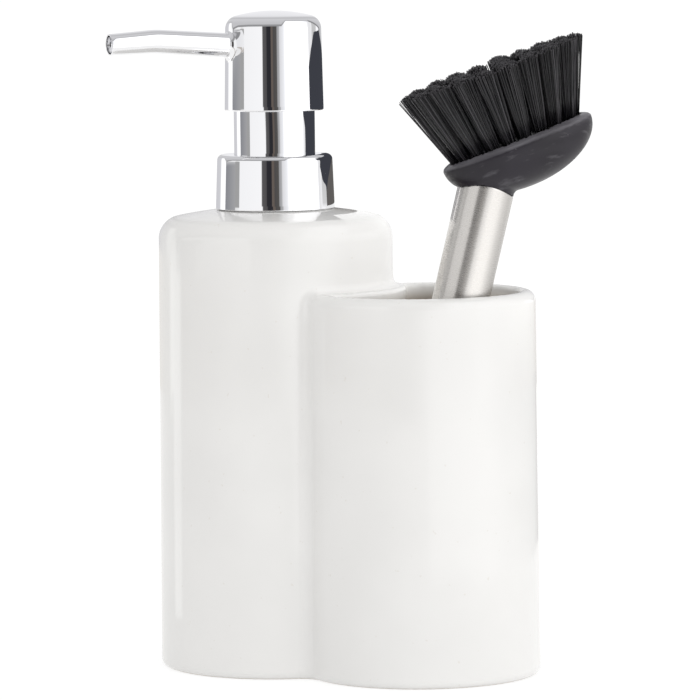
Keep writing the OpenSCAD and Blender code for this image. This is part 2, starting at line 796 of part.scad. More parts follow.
module head_core() {
    core_inset = head_t + press_gap;
    color("white")
    difference() {
        union() {
            rotate_extrude()
                intersection() {
                    head_profile(core_inset);
                    translate([0, core_z]) square([head_bore_r - press_gap, head_h]);
                }
            translate([0, 0, boss_z]) cylinder(h = core_z - boss_z + over, r = boss_r);
        }
        // Socket of the stem, valve chamber and channel to the nozzle
        translate([0, 0, boss_z - over]) cylinder(h = stem_top - boss_z + over + press_gap, r = stem_r + press_gap);
        translate([0, 0, stem_top - press_gap]) cylinder(h = chamber_top - stem_top, r = chamber_r);
        translate([0, 0, stem_top]) cylinder(h = nozzle_z - stem_top, r = nozzle_bore_r * 0.8);
        along_nozzle(-nozzle_bore_r) cylinder(h = nozzle_start + nozzle_bore_r * 2, r = nozzle_bore_r);
        along_nozzle(nozzle_start - press_gap) cylinder(h = head_r * 2, r = nozzle_back_r + press_gap);
    }
}

// Places its children in the brush's own frame: its handle is the Z axis and its foot is the origin
module brush_place() {
    translate([brush_x, brush_y, brush_z])
        rotate([0, brush_lean, brush_lean_turn])
        rotate([0, 0, brush_roll])
        children();
}

// Places its children in the frame of the brush head, with the bristles along Z
module pad_place() {
    brush_place()
        translate([0, 0, pad_joint])
        rotate([0, -head_angle, 0])
        translate([pad_shift, 0, pad_line])
        children();
}

// The long round cutter that shapes the upper end of the handle's tube
module handle_saddle(extra) {
    translate([0, 0, handle_h + handle_cut_r - extra])
        rotate([0, 90, 0])
        cylinder(h = handle_r * 4, r = handle_cut_r, center = true);
}

module handle_tube() {
    color("lightgray")
    brush_place()
        difference() {
            tube(handle_foot_t, handle_h - handle_foot_t + handle_r / 2, handle_r, handle_bore_r);
            handle_saddle(0);
        }
}

module handle_foot() {
    spigot_r = handle_bore_r - press_gap;
    color("dimgray")
    brush_place()
        rotate_extrude() {
            square([handle_r - handle_foot_round, handle_foot_t]);
            translate([0, handle_foot_round]) square([handle_r, handle_foot_t - handle_foot_round - press_gap]);
            intersection() {
                translate([handle_r - handle_foot_round, handle_foot_round]) circle(handle_foot_round);
                square([handle_r, handle_foot_t]);
            }
            translate([0, handle_foot_t - over]) square([spigot_r, handle_r + over]);
        }
}

// The rounded underside and lip of the brush head, as half ellipsoids on one widest line
module pad_solid() {
    intersection() {
        scale([pad_l, pad_w, pad_depth]) sphere(1);
        translate([-pad_l, -pad_w, -pad_depth]) cube([pad_l * 2, pad_w * 2, pad_depth]);
    }
    intersection() {
        scale([pad_l, pad_w, pad_lip]) sphere(1);
        translate([-pad_l, -pad_w, 0]) cube([pad_l * 2, pad_w * 2, pad_lip]);
    }
}

module pad_oval(length, width, height) {
    linear_extrude(height) scale([length, width]) circle(1);
}

module brush_head() {
    spigot_r = handle_bore_r - press_gap;
    spigot_h = handle_r * 2.5;
    color("dimgray")
    difference() {
        union() {
            pad_place() pad_solid();
            brush_place()
                intersection() {
                    translate([0, 0, handle_h]) cylinder(h = handle_r, r = handle_r);
                    handle_saddle(-press_gap);
                }
            brush_place() translate([0, 0, handle_h - spigot_h]) cylinder(h = spigot_h + handle_r, r = spigot_r);
        }
        pad_place()
            translate([0, 0, pad_lip / 2 - pocket_depth])
            pad_oval(pocket_l, pocket_w, pocket_depth * 2);
    }
}

module tuft_block() {
    color("black")
    pad_place()
        translate([0, 0, pad_lip / 2 - pocket_depth + block_gap])
        pad_oval(pocket_l - block_gap, pocket_w - block_gap, pocket_depth - backing_t - block_gap * 2);
}

// One strand of three sides from the point a to the point b
module strand(a, b) {
    foot = [for (i = [0 : 2]) a + strand_r * [cos(i * 120), sin(i * 120), 0]];
    tip = [for (i = [0 : 2]) b + strand_r * [cos(i * 120), sin(i * 120), 0]];
    polyhedron(concat(foot, tip), [[0, 1, 2], [5, 4, 3], [0, 3, 4], [0, 4, 1], [1, 4, 5], [1, 5, 2], [2, 5, 3], [2, 3, 0]]);
}

// One tuft that stands at [x, y] and leans outwards as the whole field flares
module tuft(x, y, h) {
    for (c = [0 : len(strand_counts) - 1])
        for (i = [0 : strand_counts[c] - 1])
            let (
                a = i * 360 / strand_counts[c] + c * 45,
                q = tuft_r * strand_circle_shares[c],
                foot = [x + q * cos(a), y + q * sin(a), -embed],
                tip = [
                    x * flare_l_share + q * tuft_flare_share * cos(a),
                    y * flare_w_share + q * tuft_flare_share * sin(a),
                    h
                ]
            )
            strand(foot, tip);
}

module bristles() {
    field_z = pad_lip / 2 - backing_t;
    color("black")
    pad_place()
        translate([0, 0, field_z])
        resize([0, 0, backing_t + bristle_h])
        union() {
            pad_oval(pocket_l - block_gap, pocket_w - block_gap, backing_t);
            translate([0, 0, backing_t])
                for (k = [0 : len(ring_tufts) - 1])
                    for (i = [0 : ring_tufts[k] - 1])
                        let (
                            a = (i + k / 2) * 360 / ring_tufts[k],
                            lift = 1 + tuft_uneven_share * cos(a * 7 + k * 90)
                        )
                        tuft((ring_l - k * tuft_gap) * cos(a), (ring_w - k * tuft_gap) * sin(a), bristle_h * lift);
        }
}

ceramic_body();
neck_insert();
neck_gasket();
threaded_cap();
collar_shell();
guide_sleeve();
pump_cylinder();
lock_ring();
dip_tube();
valve_cage();
inlet_ball();
return_spring();
piston();
piston_seal();
stem();
outlet_ball();
head_core();
head_shell();
nozzle_tube();
handle_tube();
handle_foot();
brush_head();
tuft_block();
bristles();
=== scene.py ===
"""Looks of a ceramic soap pump caddy and its brush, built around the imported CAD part.

Shapes are worked out in millimetres and stored in metres, in the frame of the CAD part: the origin is on the
pump's axis at the foot, +X runs to the axis of the cup and +Z is up.
"""

import logging
import math
from dataclasses import dataclass
from enum import Enum
from typing import Callable

import bpy
import numpy as np
from mathutils import Matrix, Vector


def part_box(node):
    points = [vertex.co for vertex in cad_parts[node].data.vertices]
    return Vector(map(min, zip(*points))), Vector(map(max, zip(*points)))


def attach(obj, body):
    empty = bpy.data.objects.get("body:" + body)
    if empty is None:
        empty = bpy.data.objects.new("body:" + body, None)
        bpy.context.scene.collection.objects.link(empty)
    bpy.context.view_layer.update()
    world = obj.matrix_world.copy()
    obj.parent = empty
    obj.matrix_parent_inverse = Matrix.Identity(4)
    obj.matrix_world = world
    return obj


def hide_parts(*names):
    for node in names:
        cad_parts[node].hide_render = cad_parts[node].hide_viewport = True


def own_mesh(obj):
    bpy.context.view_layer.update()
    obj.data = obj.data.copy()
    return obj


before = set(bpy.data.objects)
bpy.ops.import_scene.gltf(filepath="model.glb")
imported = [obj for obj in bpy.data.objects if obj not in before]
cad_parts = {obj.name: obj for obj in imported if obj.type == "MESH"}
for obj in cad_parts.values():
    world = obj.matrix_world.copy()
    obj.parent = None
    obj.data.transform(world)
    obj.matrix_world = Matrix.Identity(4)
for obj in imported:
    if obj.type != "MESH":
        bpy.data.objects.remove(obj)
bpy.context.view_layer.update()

log = logging.getLogger("caddy")
logging.basicConfig(level=logging.INFO, format="%(message)s")

MM = 0.001
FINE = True
Field = Callable[[np.ndarray], np.ndarray]


class Body(Enum):
    """The moving bodies of the frame that pieces ride on."""

    CADDY = "caddy"
    PUMP = "pump"
    CLOSURE = "closure"
    HEAD = "head"
    BRUSH = "brush"


class Slot(Enum):
    """The material slots of the record, one of which each new piece carries."""

    GLAZE = "glaze"
    INSERT = "insert_plastic"
    PUMP = "pump_plastic"
    CHROME = "chrome"
    STEEL = "steel"
    BRUSHED = "brushed_steel"
    RUBBER = "soft_rubber"
    BRISTLE = "bristle_nylon"


# ---------------------------------------------------------------- numbers and meshes


def box_mm(node: str) -> tuple[np.ndarray, np.ndarray]:
    """Lowest and highest corner of a CAD node, in millimetres."""
    low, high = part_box(node)
    return np.array(low) / MM, np.array(high) / MM


def turn_z(degrees: float) -> np.ndarray:
    """Rotation by an angle about Z."""
    return np.array(Matrix.Rotation(math.radians(degrees), 3, "Z"))


def turn_y(degrees: float) -> np.ndarray:
    """Rotation by an angle about Y."""
    return np.array(Matrix.Rotation(math.radians(degrees), 3, "Y"))


@dataclass(frozen=True)
class Place:
    """A turn followed by a shift, which carries local points into the frame."""

    turn: np.ndarray
    shift: np.ndarray

    def out(self, points: np.ndarray) -> np.ndarray:
        """Local points in the frame."""
        return points @ self.turn.T + self.shift

    def into(self, points: np.ndarray) -> np.ndarray:
        """Points of the frame in local coordinates."""
        return (points - self.shift) @ self.turn

    def then(self, turn: np.ndarray, shift: np.ndarray) -> "Place":
        """The place of something that is turned and shifted in this one."""
        return Place(self.turn @ turn, self.out(np.asarray(shift, float)))


HERE = Place(np.eye(3), np.zeros(3))
GOLDEN_ANGLE = 2.39996
THREAD_SINK = 0.15  # how far a ridge stands in its wall, in millimetres
THREAD_FADE = 0.6  # turn in radians over which its ends fade
THREAD_STEPS = 72  # rows in each turn


@dataclass
class Patch:
    """Points and four-cornered faces of a surface, in millimetres."""

    points: np.ndarray
    quads: np.ndarray

    def __add__(self, other: "Patch") -> "Patch":
        """Both surfaces in one patch."""
        moved = other.quads + len(self.points)
        return Patch(np.vstack([self.points, other.points]), np.vstack([self.quads, moved]))


def grid_patch(points: np.ndarray, wrap_rows: bool = False, wrap_columns: bool = False) -> Patch:
    """Surface through a grid of points: cell (i, j) becomes a face with its neighbours i + 1 and j + 1.

    Args:
        points: array of rows by columns by 3.
        wrap_rows: joins the last row to the first.
        wrap_columns: joins the last column to the first.

    Returns:
        The patch, with its points row by row.
    """
    rows, columns = points.shape[:2]
    i = np.arange(rows if wrap_rows else rows - 1)[:, None]
    j = np.arange(columns if wrap_columns else columns - 1)[None, :]
    near, far = i * columns, (i + 1) % rows * columns
    left, right = j, (j + 1) % columns
    quads = np.stack([near + left, near + right, far + right, far + left], -1)
    return Patch(points.reshape(-1, 3), quads.reshape(-1, 4))


def revolve(profile: np.ndarray, steps: int, closed: bool = False) -> Patch:
    """Profile of (radius, height) turned about Z: x = r cos a, y = r sin a, z = h for a full turn of a.

    Args:
        profile: array of points by 2, running so that its left side is the outside.
        steps: faces round the turn.
        closed: joins the profile's last point to its first.

    Returns:
        The turned surface.
    """
    a = np.arange(steps) * 2 * math.pi / steps
    r, h = profile[:, 0][:, None], profile[:, 1][:, None]
    points = np.stack([r * np.cos(a), r * np.sin(a), h + 0 * a], -1)
    return grid_patch(points, wrap_rows=closed, wrap_columns=True)


def rounded(corners: list[tuple[float, float, float]], steps: int = 8, closed: bool = False) -> np.ndarray:
    """Outline through corners given as (x, y, radius), each rounded by an arc that touches both its sides.

    The arc's centre lies radius / sin(half the corner's angle) from the corner, on the line that halves it.

    Args:
        corners: the corners in order, as (x, y, radius).
        steps: faces along each arc.
        closed: rounds the first and last corner too.

    Returns:
        The outline's points.
    """
    points = np.array([c[:2] for c in corners], float)
    out = []
    for k, (x, y, radius) in enumerate(corners):
        ends = not closed and k in (0, len(corners) - 1)
        if radius <= 0 or ends:
            out.append(np.array([[x, y]], float))
            continue
        back = points[k - 1] - points[k]
        ahead = points[(k + 1) % len(points)] - points[k]
        back, ahead = back / np.hypot(*back), ahead / np.hypot(*ahead)
        half = math.acos(float(np.clip(back @ ahead, -1, 1))) / 2
        middle = (back + ahead) / np.hypot(*(back + ahead))
        centre = points[k] + middle * radius / math.sin(half)
        start = points[k] + back * radius / math.tan(half) - centre
        end = points[k] + ahead * radius / math.tan(half) - centre
        a0 = math.atan2(start[1], start[0])
        sweep = (math.atan2(end[1], end[0]) - a0 + math.pi) % (2 * math.pi) - math.pi
        a = a0 + sweep * np.linspace(0, 1, steps + 1)
        out.append(centre + radius * np.stack([np.cos(a), np.sin(a)], -1))
    return np.vstack(out)


def split_long(line: np.ndarray, most: float) -> np.ndarray:
    """Outline with points added so that no stretch is longer than most.

    Args:
        line: points by 2.
        most: longest stretch allowed.

    Returns:
        The outline with its added points.
    """
    parts = [line[:1]]
    for a, b in zip(line[:-1], line[1:]):
        count = max(1, math.ceil(np.hypot(*(b - a)) / most))
        parts.append(a + (b - a) * (np.arange(1, count + 1) / count)[:, None])
    return np.vstack(parts)


def welded(patch: Patch, grain: float = 1e-4) -> tuple[np.ndarray, list[list[int]]]:
    """Points merged where they fall in one grain, and faces without the corners that this doubles.

    Args:
        patch: the surface.
        grain: size of a grain in millimetres.

    Returns:
        The merged points, and the faces as lists of corners.
    """
    keys = np.round(patch.points / grain).astype(np.int64)
    _, first, inverse = np.unique(keys, axis=0, return_index=True, return_inverse=True)
    quads = inverse.reshape(-1)[patch.quads]
    repeats = quads == np.roll(quads, -1, axis=1)
    doubled = repeats.sum(1)
    faces = quads[doubled == 0].tolist()
    for row, drop in zip(quads[doubled == 1].tolist(), repeats[doubled == 1].argmax(1)):
        face = [v for k, v in enumerate(row) if k != drop]
        if len(set(face)) == 3:
            faces.append(face)
    return patch.points[first], faces


def join_round(a: np.ndarray, b: np.ndarray, radius: np.ndarray | float) -> np.ndarray:
    """Distance to both shapes together, with a hollow fillet where their surfaces meet."""
    near = np.hypot(np.maximum(radius - a, 0), np.maximum(radius - b, 0))
    return np.maximum(np.minimum(a, b), radius) - near


def common_round(a: np.ndarray, b: np.ndarray, radius: np.ndarray | float) -> np.ndarray:
    """Distance to what two shapes share, with the edge where their surfaces meet rounded off."""
    near = np.hypot(np.maximum(radius + a, 0), np.maximum(radius + b, 0))
    return np.minimum(np.maximum(a, b), -radius) + near


def slope(field: Field, points: np.ndarray, reach: float = 0.05) -> np.ndarray:
    """Gradient of a field: half its difference over each axis, divided by the reach."""
    steps = np.eye(3) * reach
    return np.stack([field(points + s) - field(points - s) for s in steps], -1) / (2 * reach)


def net_surface(field: Field, axes: list[np.ndarray]) -> tuple[Patch, np.ndarray]:
    """Closed surface where a distance field is zero, as a net of faces of about one size.

    Each cell that the surface crosses gets one point, the mean of its crossings, which is then moved onto the
    surface along the field's gradient: p - f(p) g / |g|^2. Each grid edge that crosses gets one face.

    Args:
        field: distance at an array of points.
        axes: the grid's planes along x, y and z, which need not be evenly spaced.

    Returns:
        The surface, and the outward normal at each of its points.
    """
    grid = np.stack(np.meshgrid(*axes, indexing="ij"), -1)
    values = np.stack([field(sheet.reshape(-1, 3)).reshape(sheet.shape[:2]) for sheet in grid])
    cells = tuple(n - 1 for n in values.shape)
    total = np.zeros(cells + (3,))
    count = np.zeros(cells, int)
    corner = [slice(0, -1), slice(1, None)]
    for axis in range(3):
        others = [k for k in range(3) if k != axis]
        for u in (0, 1):
            for v in (0, 1):
                start: list[slice] = [slice(None)] * 3
                start[axis], start[others[0]], start[others[1]] = corner[0], corner[u], corner[v]
                end = list(start)
                end[axis] = corner[1]
                a, b = values[tuple(start)], values[tuple(end)]
                cross = (a < 0) != (b < 0)
                t = np.where(cross, a / np.where(cross, a - b, 1), 0)
                p = grid[tuple(start)] + t[..., None] * (grid[tuple(end)] - grid[tuple(start)])
                total += np.where(cross[..., None], p, 0)
                count += cross
    active = count > 0
    index = np.full(cells, -1)
    index[active] = np.arange(active.sum())
    points = total[active] / count[active][:, None]
    quads = []
    for axis in range(3):
        u, v = [k for k in range(3) if k != axis]
        a = np.moveaxis(values, (axis, u, v), (0, 1, 2))
        cell = np.moveaxis(index, (axis, u, v), (0, 1, 2))
        start, end = a[:-1, 1:-1, 1:-1] < 0, a[1:, 1:-1, 1:-1] < 0
        for inward in (True, False):
            i, j, k = np.nonzero((start != end) & (start == inward))
            ring = [cell[i, j, k], cell[i, j + 1, k], cell[i, j + 1, k + 1], cell[i, j, k + 1]]
            if inward == (axis == 1):
                ring.reverse()
            quads.append(np.stack(ring, -1))
    for _ in range(3):
        g = slope(field, points)
        size = np.maximum((g * g).sum(1), 1e-6)
        move = -(field(points) / size)[:, None] * g
        points = points + np.clip(move, -0.5, 0.5)
    g = slope(field, points)
    return Patch(points, np.vstack(quads)), g / np.linalg.norm(g, axis=1, keepdims=True)


def even_axis(low: float, high: float, step: float) -> np.ndarray:
    """Evenly spaced planes that reach past both ends."""
    return np.arange(low - 1.5 * step, high + 2.5 * step, step)


def graded_axis(stops: list[tuple[float, float]], end: float) -> np.ndarray:
    """Planes whose spacing changes: each stop gives where a stretch starts and the spacing in it.

    Args:
        stops: start and spacing of each stretch.
        end: where the last stretch ends.

    Returns:
        The planes in order.
    """
    starts = [stop for stop, _ in stops] + [end]
    parts = [np.arange(a, b - step / 2, step) for (a, step), b in zip(stops, starts[1:])]
    return np.concatenate(parts + [np.array([end])])


@dataclass
class Piece:
    """A finished mesh piece: its name, body, slot, finish and the CAD nodes that it stands for."""

    name: str
    body: Body
    slot: Slot
    finish: "Finish"
    stands_for: tuple[str, ...] = ()

    def dress(self, mesh: bpy.types.Mesh) -> bpy.types.Object:
        """Links the mesh as an object, gives it its finish and sets what it rides on.

        Args:
            mesh: the finished mesh.

        Returns:
            The new object.
        """
        piece = bpy.data.objects.new(self.name, mesh)
        bpy.context.scene.collection.objects.link(piece)
        mesh.materials.append(self.finish.material())
        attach(piece, self.body.value)
        if self.stands_for:
            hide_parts(*self.stands_for)
        log.info("%s: %d points, %d faces", self.name, len(mesh.vertices), len(mesh.polygons))
        return piece

    def build(
        self,
        patch: Patch,
        place: Place = HERE,
        crease: float = 35.0,
        normals: np.ndarray | None = None,
    ) -> bpy.types.Object:
        """Makes the piece from a patch.

        Args:
            patch: the surface, in millimetres in the place's own frame.
            place: where it stands.
            crease: angle in degrees above which an edge stays sharp.
            normals: outward normals of the points, for a net; the patch is then taken as it is.

        Returns:
            The new object.
        """
        mesh = bpy.data.meshes.new(self.name)
        if normals is None:
            points, faces = welded(patch)
        else:
            points, faces = patch.points, patch.quads.tolist()
        mesh.from_pydata((place.out(points) * MM).tolist(), [], faces)
        mesh.update()
        mesh.polygons.foreach_set("use_smooth", np.ones(len(mesh.polygons), bool))
        if normals is None:
            mesh.set_sharp_from_angle(angle=math.radians(crease))
        else:
            mesh.normals_split_custom_set_from_vertices((normals @ place.turn.T).tolist())
        return self.dress(mesh)


# ---------------------------------------------------------------- finishes


class Graph:
    """A small hand for wiring shader nodes."""

    def __init__(self, name: str) -> None:
        """Makes an empty material with its output.

        Args:
            name: the material's name.
        """
        self.material = bpy.data.materials.new(name)
        self.material.use_nodes = True
        self.tree = self.material.node_tree
        self.tree.nodes.clear()
        self.output = self.tree.nodes.new("ShaderNodeOutputMaterial")

    def node(self, kind: str, **inputs: object) -> bpy.types.Node:
        """Adds a node and sets or links its inputs, whose spaces are written as underscores.

        Args:
            kind: the node's type.
            inputs: a value or a socket for each input.

        Returns:
            The new node.
        """
        node = self.tree.nodes.new(kind)
        for key, value in inputs.items():
            self.put(node, key.replace("_", " "), value)
        return node

    def put(self, node: bpy.types.Node, key: str | int, value: object) -> None:
        """Links a socket to an input, or sets the input's value.

        Args:
            node: the node.
            key: name or number of its input.
            value: a socket or a value.
        """
        if isinstance(value, bpy.types.NodeSocket):
            self.tree.links.new(value, node.inputs[key])
        else:
            node.inputs[key].default_value = value

    def math(self, operation: str, *values: object) -> bpy.types.NodeSocket:
        """Result of a math node.

        Args:
            operation: name of the operation.
            values: numbers or sockets.

        Returns:
            The result's socket.
        """
        node = self.tree.nodes.new("ShaderNodeMath")
        node.operation = operation
        for k, value in enumerate(values):
            self.put(node, k, value)
        return node.outputs[0]

    def coordinates(
        self, scale: tuple[float, float, float] = (1, 1, 1), turn: tuple[float, float, float] = (0, 0, 0)
    ) -> bpy.types.NodeSocket:
        """Object coordinates, turned and then scaled.

        Args:
            scale: stretch along each axis.
            turn: turn about each axis, in radians.

        Returns:
            The coordinates' socket.
        """
        source = self.node("ShaderNodeTexCoord").outputs["Object"]
        mapping = self.node("ShaderNodeMapping", Vector=source, Rotation=turn)
        stretch = self.node("ShaderNodeMapping", Vector=mapping.outputs[0], Scale=scale)
        return stretch.outputs[0]

    def noise(self, vector: object, scale: float, detail: float = 3, roughness: float = 0.5) -> bpy.types.NodeSocket:
        """Value of a noise texture."""
        node = self.node("ShaderNodeTexNoise", Vector=vector, Scale=scale, Detail=detail, Roughness=roughness)
        return node.outputs[0]

    def spread(self, value: object, low: float, high: float, start: float, end: float) -> bpy.types.NodeSocket:
        """Value taken from the range low to high into the range start to end, and held there.

        Args:
            value: the value's socket.
            low: start of the range that is read.
            high: end of the range that is read.
            start: result at low.
            end: result at high.

        Returns:
            The result's socket.
        """
        node = self.tree.nodes.new("ShaderNodeMapRange")
        for k, item in enumerate((value, low, high, start, end)):
            self.put(node, k, item)
        return node.outputs[0]

    def blend(self, share: object, first: object, second: object) -> bpy.types.NodeSocket:
        """Colour between first and second.

        Args:
            share: 0 for the first colour and 1 for the second.
            first: colour or socket.
            second: colour or socket.

        Returns:
            The colour's socket.
        """
        node = self.tree.nodes.new("ShaderNodeMix")
        node.data_type = "RGBA"
        self.put(node, 0, share)
        self.put(node, 6, first)
        self.put(node, 7, second)
        return node.outputs[2]

    def bump(self, height: object, depth: float, strength: float = 1.0, below: object = None) -> bpy.types.NodeSocket:
        """Normal bent by a height, where depth is the real height of a full step.

        Args:
            height: the height's socket.
            depth: real height of a full step, in metres.
            strength: share of the bend that is used.
            below: a normal that this one adds to.

        Returns:
            The normal's socket.
        """
        node = self.node("ShaderNodeBump", Height=height, Distance=depth, Strength=strength)
        if below is not None:
            self.put(node, "Normal", below)
        return node.outputs[0]

    def finish(self, shader: bpy.types.Node) -> bpy.types.Material:
        """Links the shader to the output."""
        self.tree.links.new(shader.outputs[0], self.output.inputs[0])
        return self.material


def rgb(red: float, green: float, blue: float) -> tuple[float, float, float, float]:
    """Colour with full alpha, in linear light."""
    return (red, green, blue, 1.0)


@dataclass(frozen=True)
class Finish:
    """A finish of the object, made once as a material."""

    name: str

    def material(self) -> bpy.types.Material:
        """The finish's material, which is made when it is first asked for."""
        found = bpy.data.materials.get(self.name)
        return found or self.make(Graph(self.name))

    def make(self, graph: Graph) -> bpy.types.Material:
        """Wires the finish.

        Args:
            graph: an empty material.

        Returns:
            The wired material.
        """
        raise NotImplementedError


@dataclass(frozen=True)
class Glaze(Finish):
    """White gloss glaze over a pale body that shows bare on the foot."""

    colour: tuple = rgb(0.855, 0.85, 0.84)
    pooled: tuple = rgb(0.83, 0.825, 0.815)
    bare: tuple = rgb(0.66, 0.61, 0.54)
    grit: tuple = rgb(0.74, 0.69, 0.62)
    # Painted shade inside the cup: inner on the bottle's side, cup_shade_far towards the far side
    inner: tuple = rgb(0.32, 0.275, 0.225)
    cup_shade_far: tuple = rgb(0.78, 0.735, 0.65)
    foot_height: float = 0.0005
    cup_x: float = 0.0515
    cup_r: float = 0.0333
    rim: float = 0.1205
    wall_fade: float = 0.0012
    rim_fade: float = 0.004
    cup_shade_span: tuple[float, float] = (-0.01, 0.011)

    def make(self, graph: Graph) -> bpy.types.Material:
        """Glaze tone drifts over about 30 mm, its surface waves a little, and the foot is dry.

        Inside the cup, where the distance from its axis is less than its bore and the height is under the rim, shade is
        painted into the colour: darker and warmer, most of all on the bottle's side, standing in for the shadow that
        the shadowless lamps don't cast there.

        Args:
            graph: an empty material.

        Returns:
            The wired material.
        """
        at = graph.coordinates()
        drift = graph.noise(at, 32.0, 2)
        tone = graph.blend(graph.spread(drift, 0.35, 0.65, 0, 1), self.colour, self.pooled)
        specks = graph.spread(graph.noise(at, 620.0, 1), 0.745, 0.79, 0, 1)
        tone = graph.blend(graph.math("MULTIPLY", specks, 0.25), tone, self.bare)
        parts = graph.node("ShaderNodeSeparateXYZ", Vector=at).outputs
        height = parts[2]
        # Painted shade: inside the cup under the rim the colour is darkened, most of all on the bottle's side.
        aside = graph.math("SUBTRACT", parts[0], self.cup_x)
        squares = graph.math("ADD", graph.math("POWER", aside, 2.0), graph.math("POWER", parts[1], 2.0))
        cup_shade_mask = graph.spread(graph.math("SQRT", squares), self.cup_r, self.cup_r + self.wall_fade, 1, 0)
        below = graph.spread(height, self.rim - self.rim_fade, self.rim, 1, 0)
        cup_shade_mask = graph.math("MULTIPLY", cup_shade_mask, below)
        start, end = self.cup_shade_span
        across = graph.spread(parts[0], self.cup_x + start, self.cup_x + end, 0, 1)
        tone = graph.blend(cup_shade_mask, tone, graph.blend(across, self.inner, self.cup_shade_far))
        foot = graph.spread(height, self.foot_height * 0.4, self.foot_height, 1, 0)
        tone = graph.blend(foot, tone, graph.blend(graph.noise(at, 1800.0, 3), self.bare, self.grit))
        rough = graph.spread(graph.noise(at, 90.0, 3), 0.3, 0.7, 0.07, 0.11)
        rough = graph.math("ADD", rough, graph.math("MULTIPLY", foot, 0.6))
        wave = graph.bump(graph.noise(at, 45.0, 2), 0.00035, 0.35)
        peel = graph.bump(graph.noise(at, 420.0, 2), 0.00001, 0.3, wave)
        shader = graph.node("ShaderNodeBsdfPrincipled", Base_Color=tone, Roughness=rough, IOR=1.5, Normal=peel)
        return graph.finish(shader)


@dataclass(frozen=True)
class Chrome(Finish):
    """Bright plating with fine wipe marks."""

    colour: tuple = rgb(0.86, 0.86, 0.87)

    def make(self, graph: Graph) -> bpy.types.Material:
        """Roughness rises in faint smears, and long hairlines run round the piece.

        Args:
            graph: an empty material.

        Returns:
            The wired material.
        """
        at = graph.coordinates()
        smear = graph.spread(graph.noise(at, 140.0, 4), 0.45, 0.75, 0.014, 0.045)
        hair = graph.noise(graph.coordinates((1, 1, 14)), 900.0, 2)
        normal = graph.bump(hair, 0.000003, 0.12)
        shader = graph.node(
            "ShaderNodeBsdfPrincipled", Base_Color=self.colour, Metallic=1.0, Roughness=smear, Normal=normal
        )
        return graph.finish(shader)


@dataclass(frozen=True)
class BrushedSteel(Finish):
    """Steel tube polished round its axis, so that its light spreads along it."""

    colour: tuple = rgb(0.66, 0.64, 0.615)
    worn: tuple = rgb(0.6, 0.58, 0.555)

    def make(self, graph: Graph) -> bpy.types.Material:
        """Fine rings, taken from the tube's own UV map, bend the light and vary the roughness.

        Args:
            graph: an empty material.

        Returns:
            The wired material.
        """
        uv = graph.node("ShaderNodeUVMap")
        uv.uv_map = "tube"
        rings = graph.node("ShaderNodeMapping", Vector=uv.outputs[0], Scale=(3.0, 420.0, 1.0)).outputs[0]
        fine = graph.noise(rings, 3.0, 5, 0.7)
        broad = graph.noise(graph.coordinates(), 55.0, 3)
        tone = graph.blend(graph.spread(fine, 0.3, 0.7, 0, 1), self.worn, self.colour)
        rough = graph.math("ADD", graph.spread(fine, 0.3, 0.7, 0.22, 0.3), graph.spread(broad, 0.3, 0.7, 0, 0.04))
        normal = graph.bump(fine, 0.000006, 0.17)
        tangent = graph.node("ShaderNodeTangent")
        tangent.direction_type = "UV_MAP"
        tangent.uv_map = "tube"
        shader = graph.node(
            "ShaderNodeBsdfPrincipled",
            Base_Color=tone,
            Metallic=1.0,
            Roughness=rough,
            Anisotropic=0.8,
            Anisotropic_Rotation=0.25,
            Normal=normal,
            Tangent=tangent.outputs[0],
        )
        return graph.finish(shader)


@dataclass(frozen=True)
class DrawnSteel(Finish):
    """Bright wire and balls inside the pump."""

    colour: tuple = rgb(0.62, 0.62, 0.61)

    def make(self, graph: Graph) -> bpy.types.Material:
        """Fine scratches vary the roughness.

        Args:
            graph: an empty material.

        Returns:
            The wired material.
        """
        rough = graph.spread(graph.noise(graph.coordinates(), 900.0, 3), 0.3, 0.7, 0.15, 0.32)
        shader = graph.node("ShaderNodeBsdfPrincipled", Base_Color=self.colour, Metallic=1.0, Roughness=rough)
        return graph.finish(shader)


@dataclass(frozen=True)
class SoftRubber(Finish):
    """Matte dark rubber with dust, pale scuffs and a painted sheen of light on its upward faces."""

    colour: tuple = rgb(0.009, 0.007, 0.011)
    worn: tuple = rgb(0.019, 0.016, 0.023)
    # Dust colour; on upward faces it also paints a sheen of light from above.
    dust: tuple = rgb(0.34, 0.33, 0.36)

    def make(self, graph: Graph) -> bpy.types.Material:
        """Cloudy tone, long faint scuffs, a few specks of dust, upward faces lighter from dust and painted sheen, and a
        fine moulded grain.

        Args:
            graph: an empty material.

        Returns:
            The wired material.
        """
        at = graph.coordinates()
        cloud = graph.spread(graph.noise(at, 60.0, 4), 0.35, 0.7, 0, 1)
        tone = graph.blend(cloud, self.colour, self.worn)
        streaks = graph.noise(graph.coordinates((1.0, 1.0, 6.0), (0.3, 0.5, 0.4)), 110.0, 5, 0.6)
        scuff = graph.math("MULTIPLY", graph.spread(streaks, 0.57, 0.78, 0, 1), 0.22)
        tone = graph.blend(scuff, tone, self.dust)
        # Painted sheen: upward faces are lightened with the dust colour, settled dust together with painted light from
        # above.
        facing = graph.node("ShaderNodeNewGeometry").outputs["Normal"]
        upward = graph.node("ShaderNodeSeparateXYZ", Vector=facing).outputs[2]
        patchy = graph.spread(streaks, 0.3, 0.6, 0.6, 1)
        dust_and_top_sheen = graph.math("MULTIPLY", graph.spread(upward, 0.1, 0.75, 0, 0.42), patchy)
        tone = graph.blend(dust_and_top_sheen, tone, self.dust)
        specks = graph.spread(graph.noise(at, 1300.0, 1), 0.77, 0.8, 0, 0.55)
        tone = graph.blend(specks, tone, self.dust)
        grain = graph.noise(at, 2600.0, 2)
        rough = graph.spread(cloud, 0, 1, 0.3, 0.42)
        normal = graph.bump(grain, 0.00003, 0.35)
        shader = graph.node(
            "ShaderNodeBsdfPrincipled", Base_Color=tone, Roughness=rough, Normal=normal, Specular_IOR_Level=0.36
        )
        return graph.finish(shader)


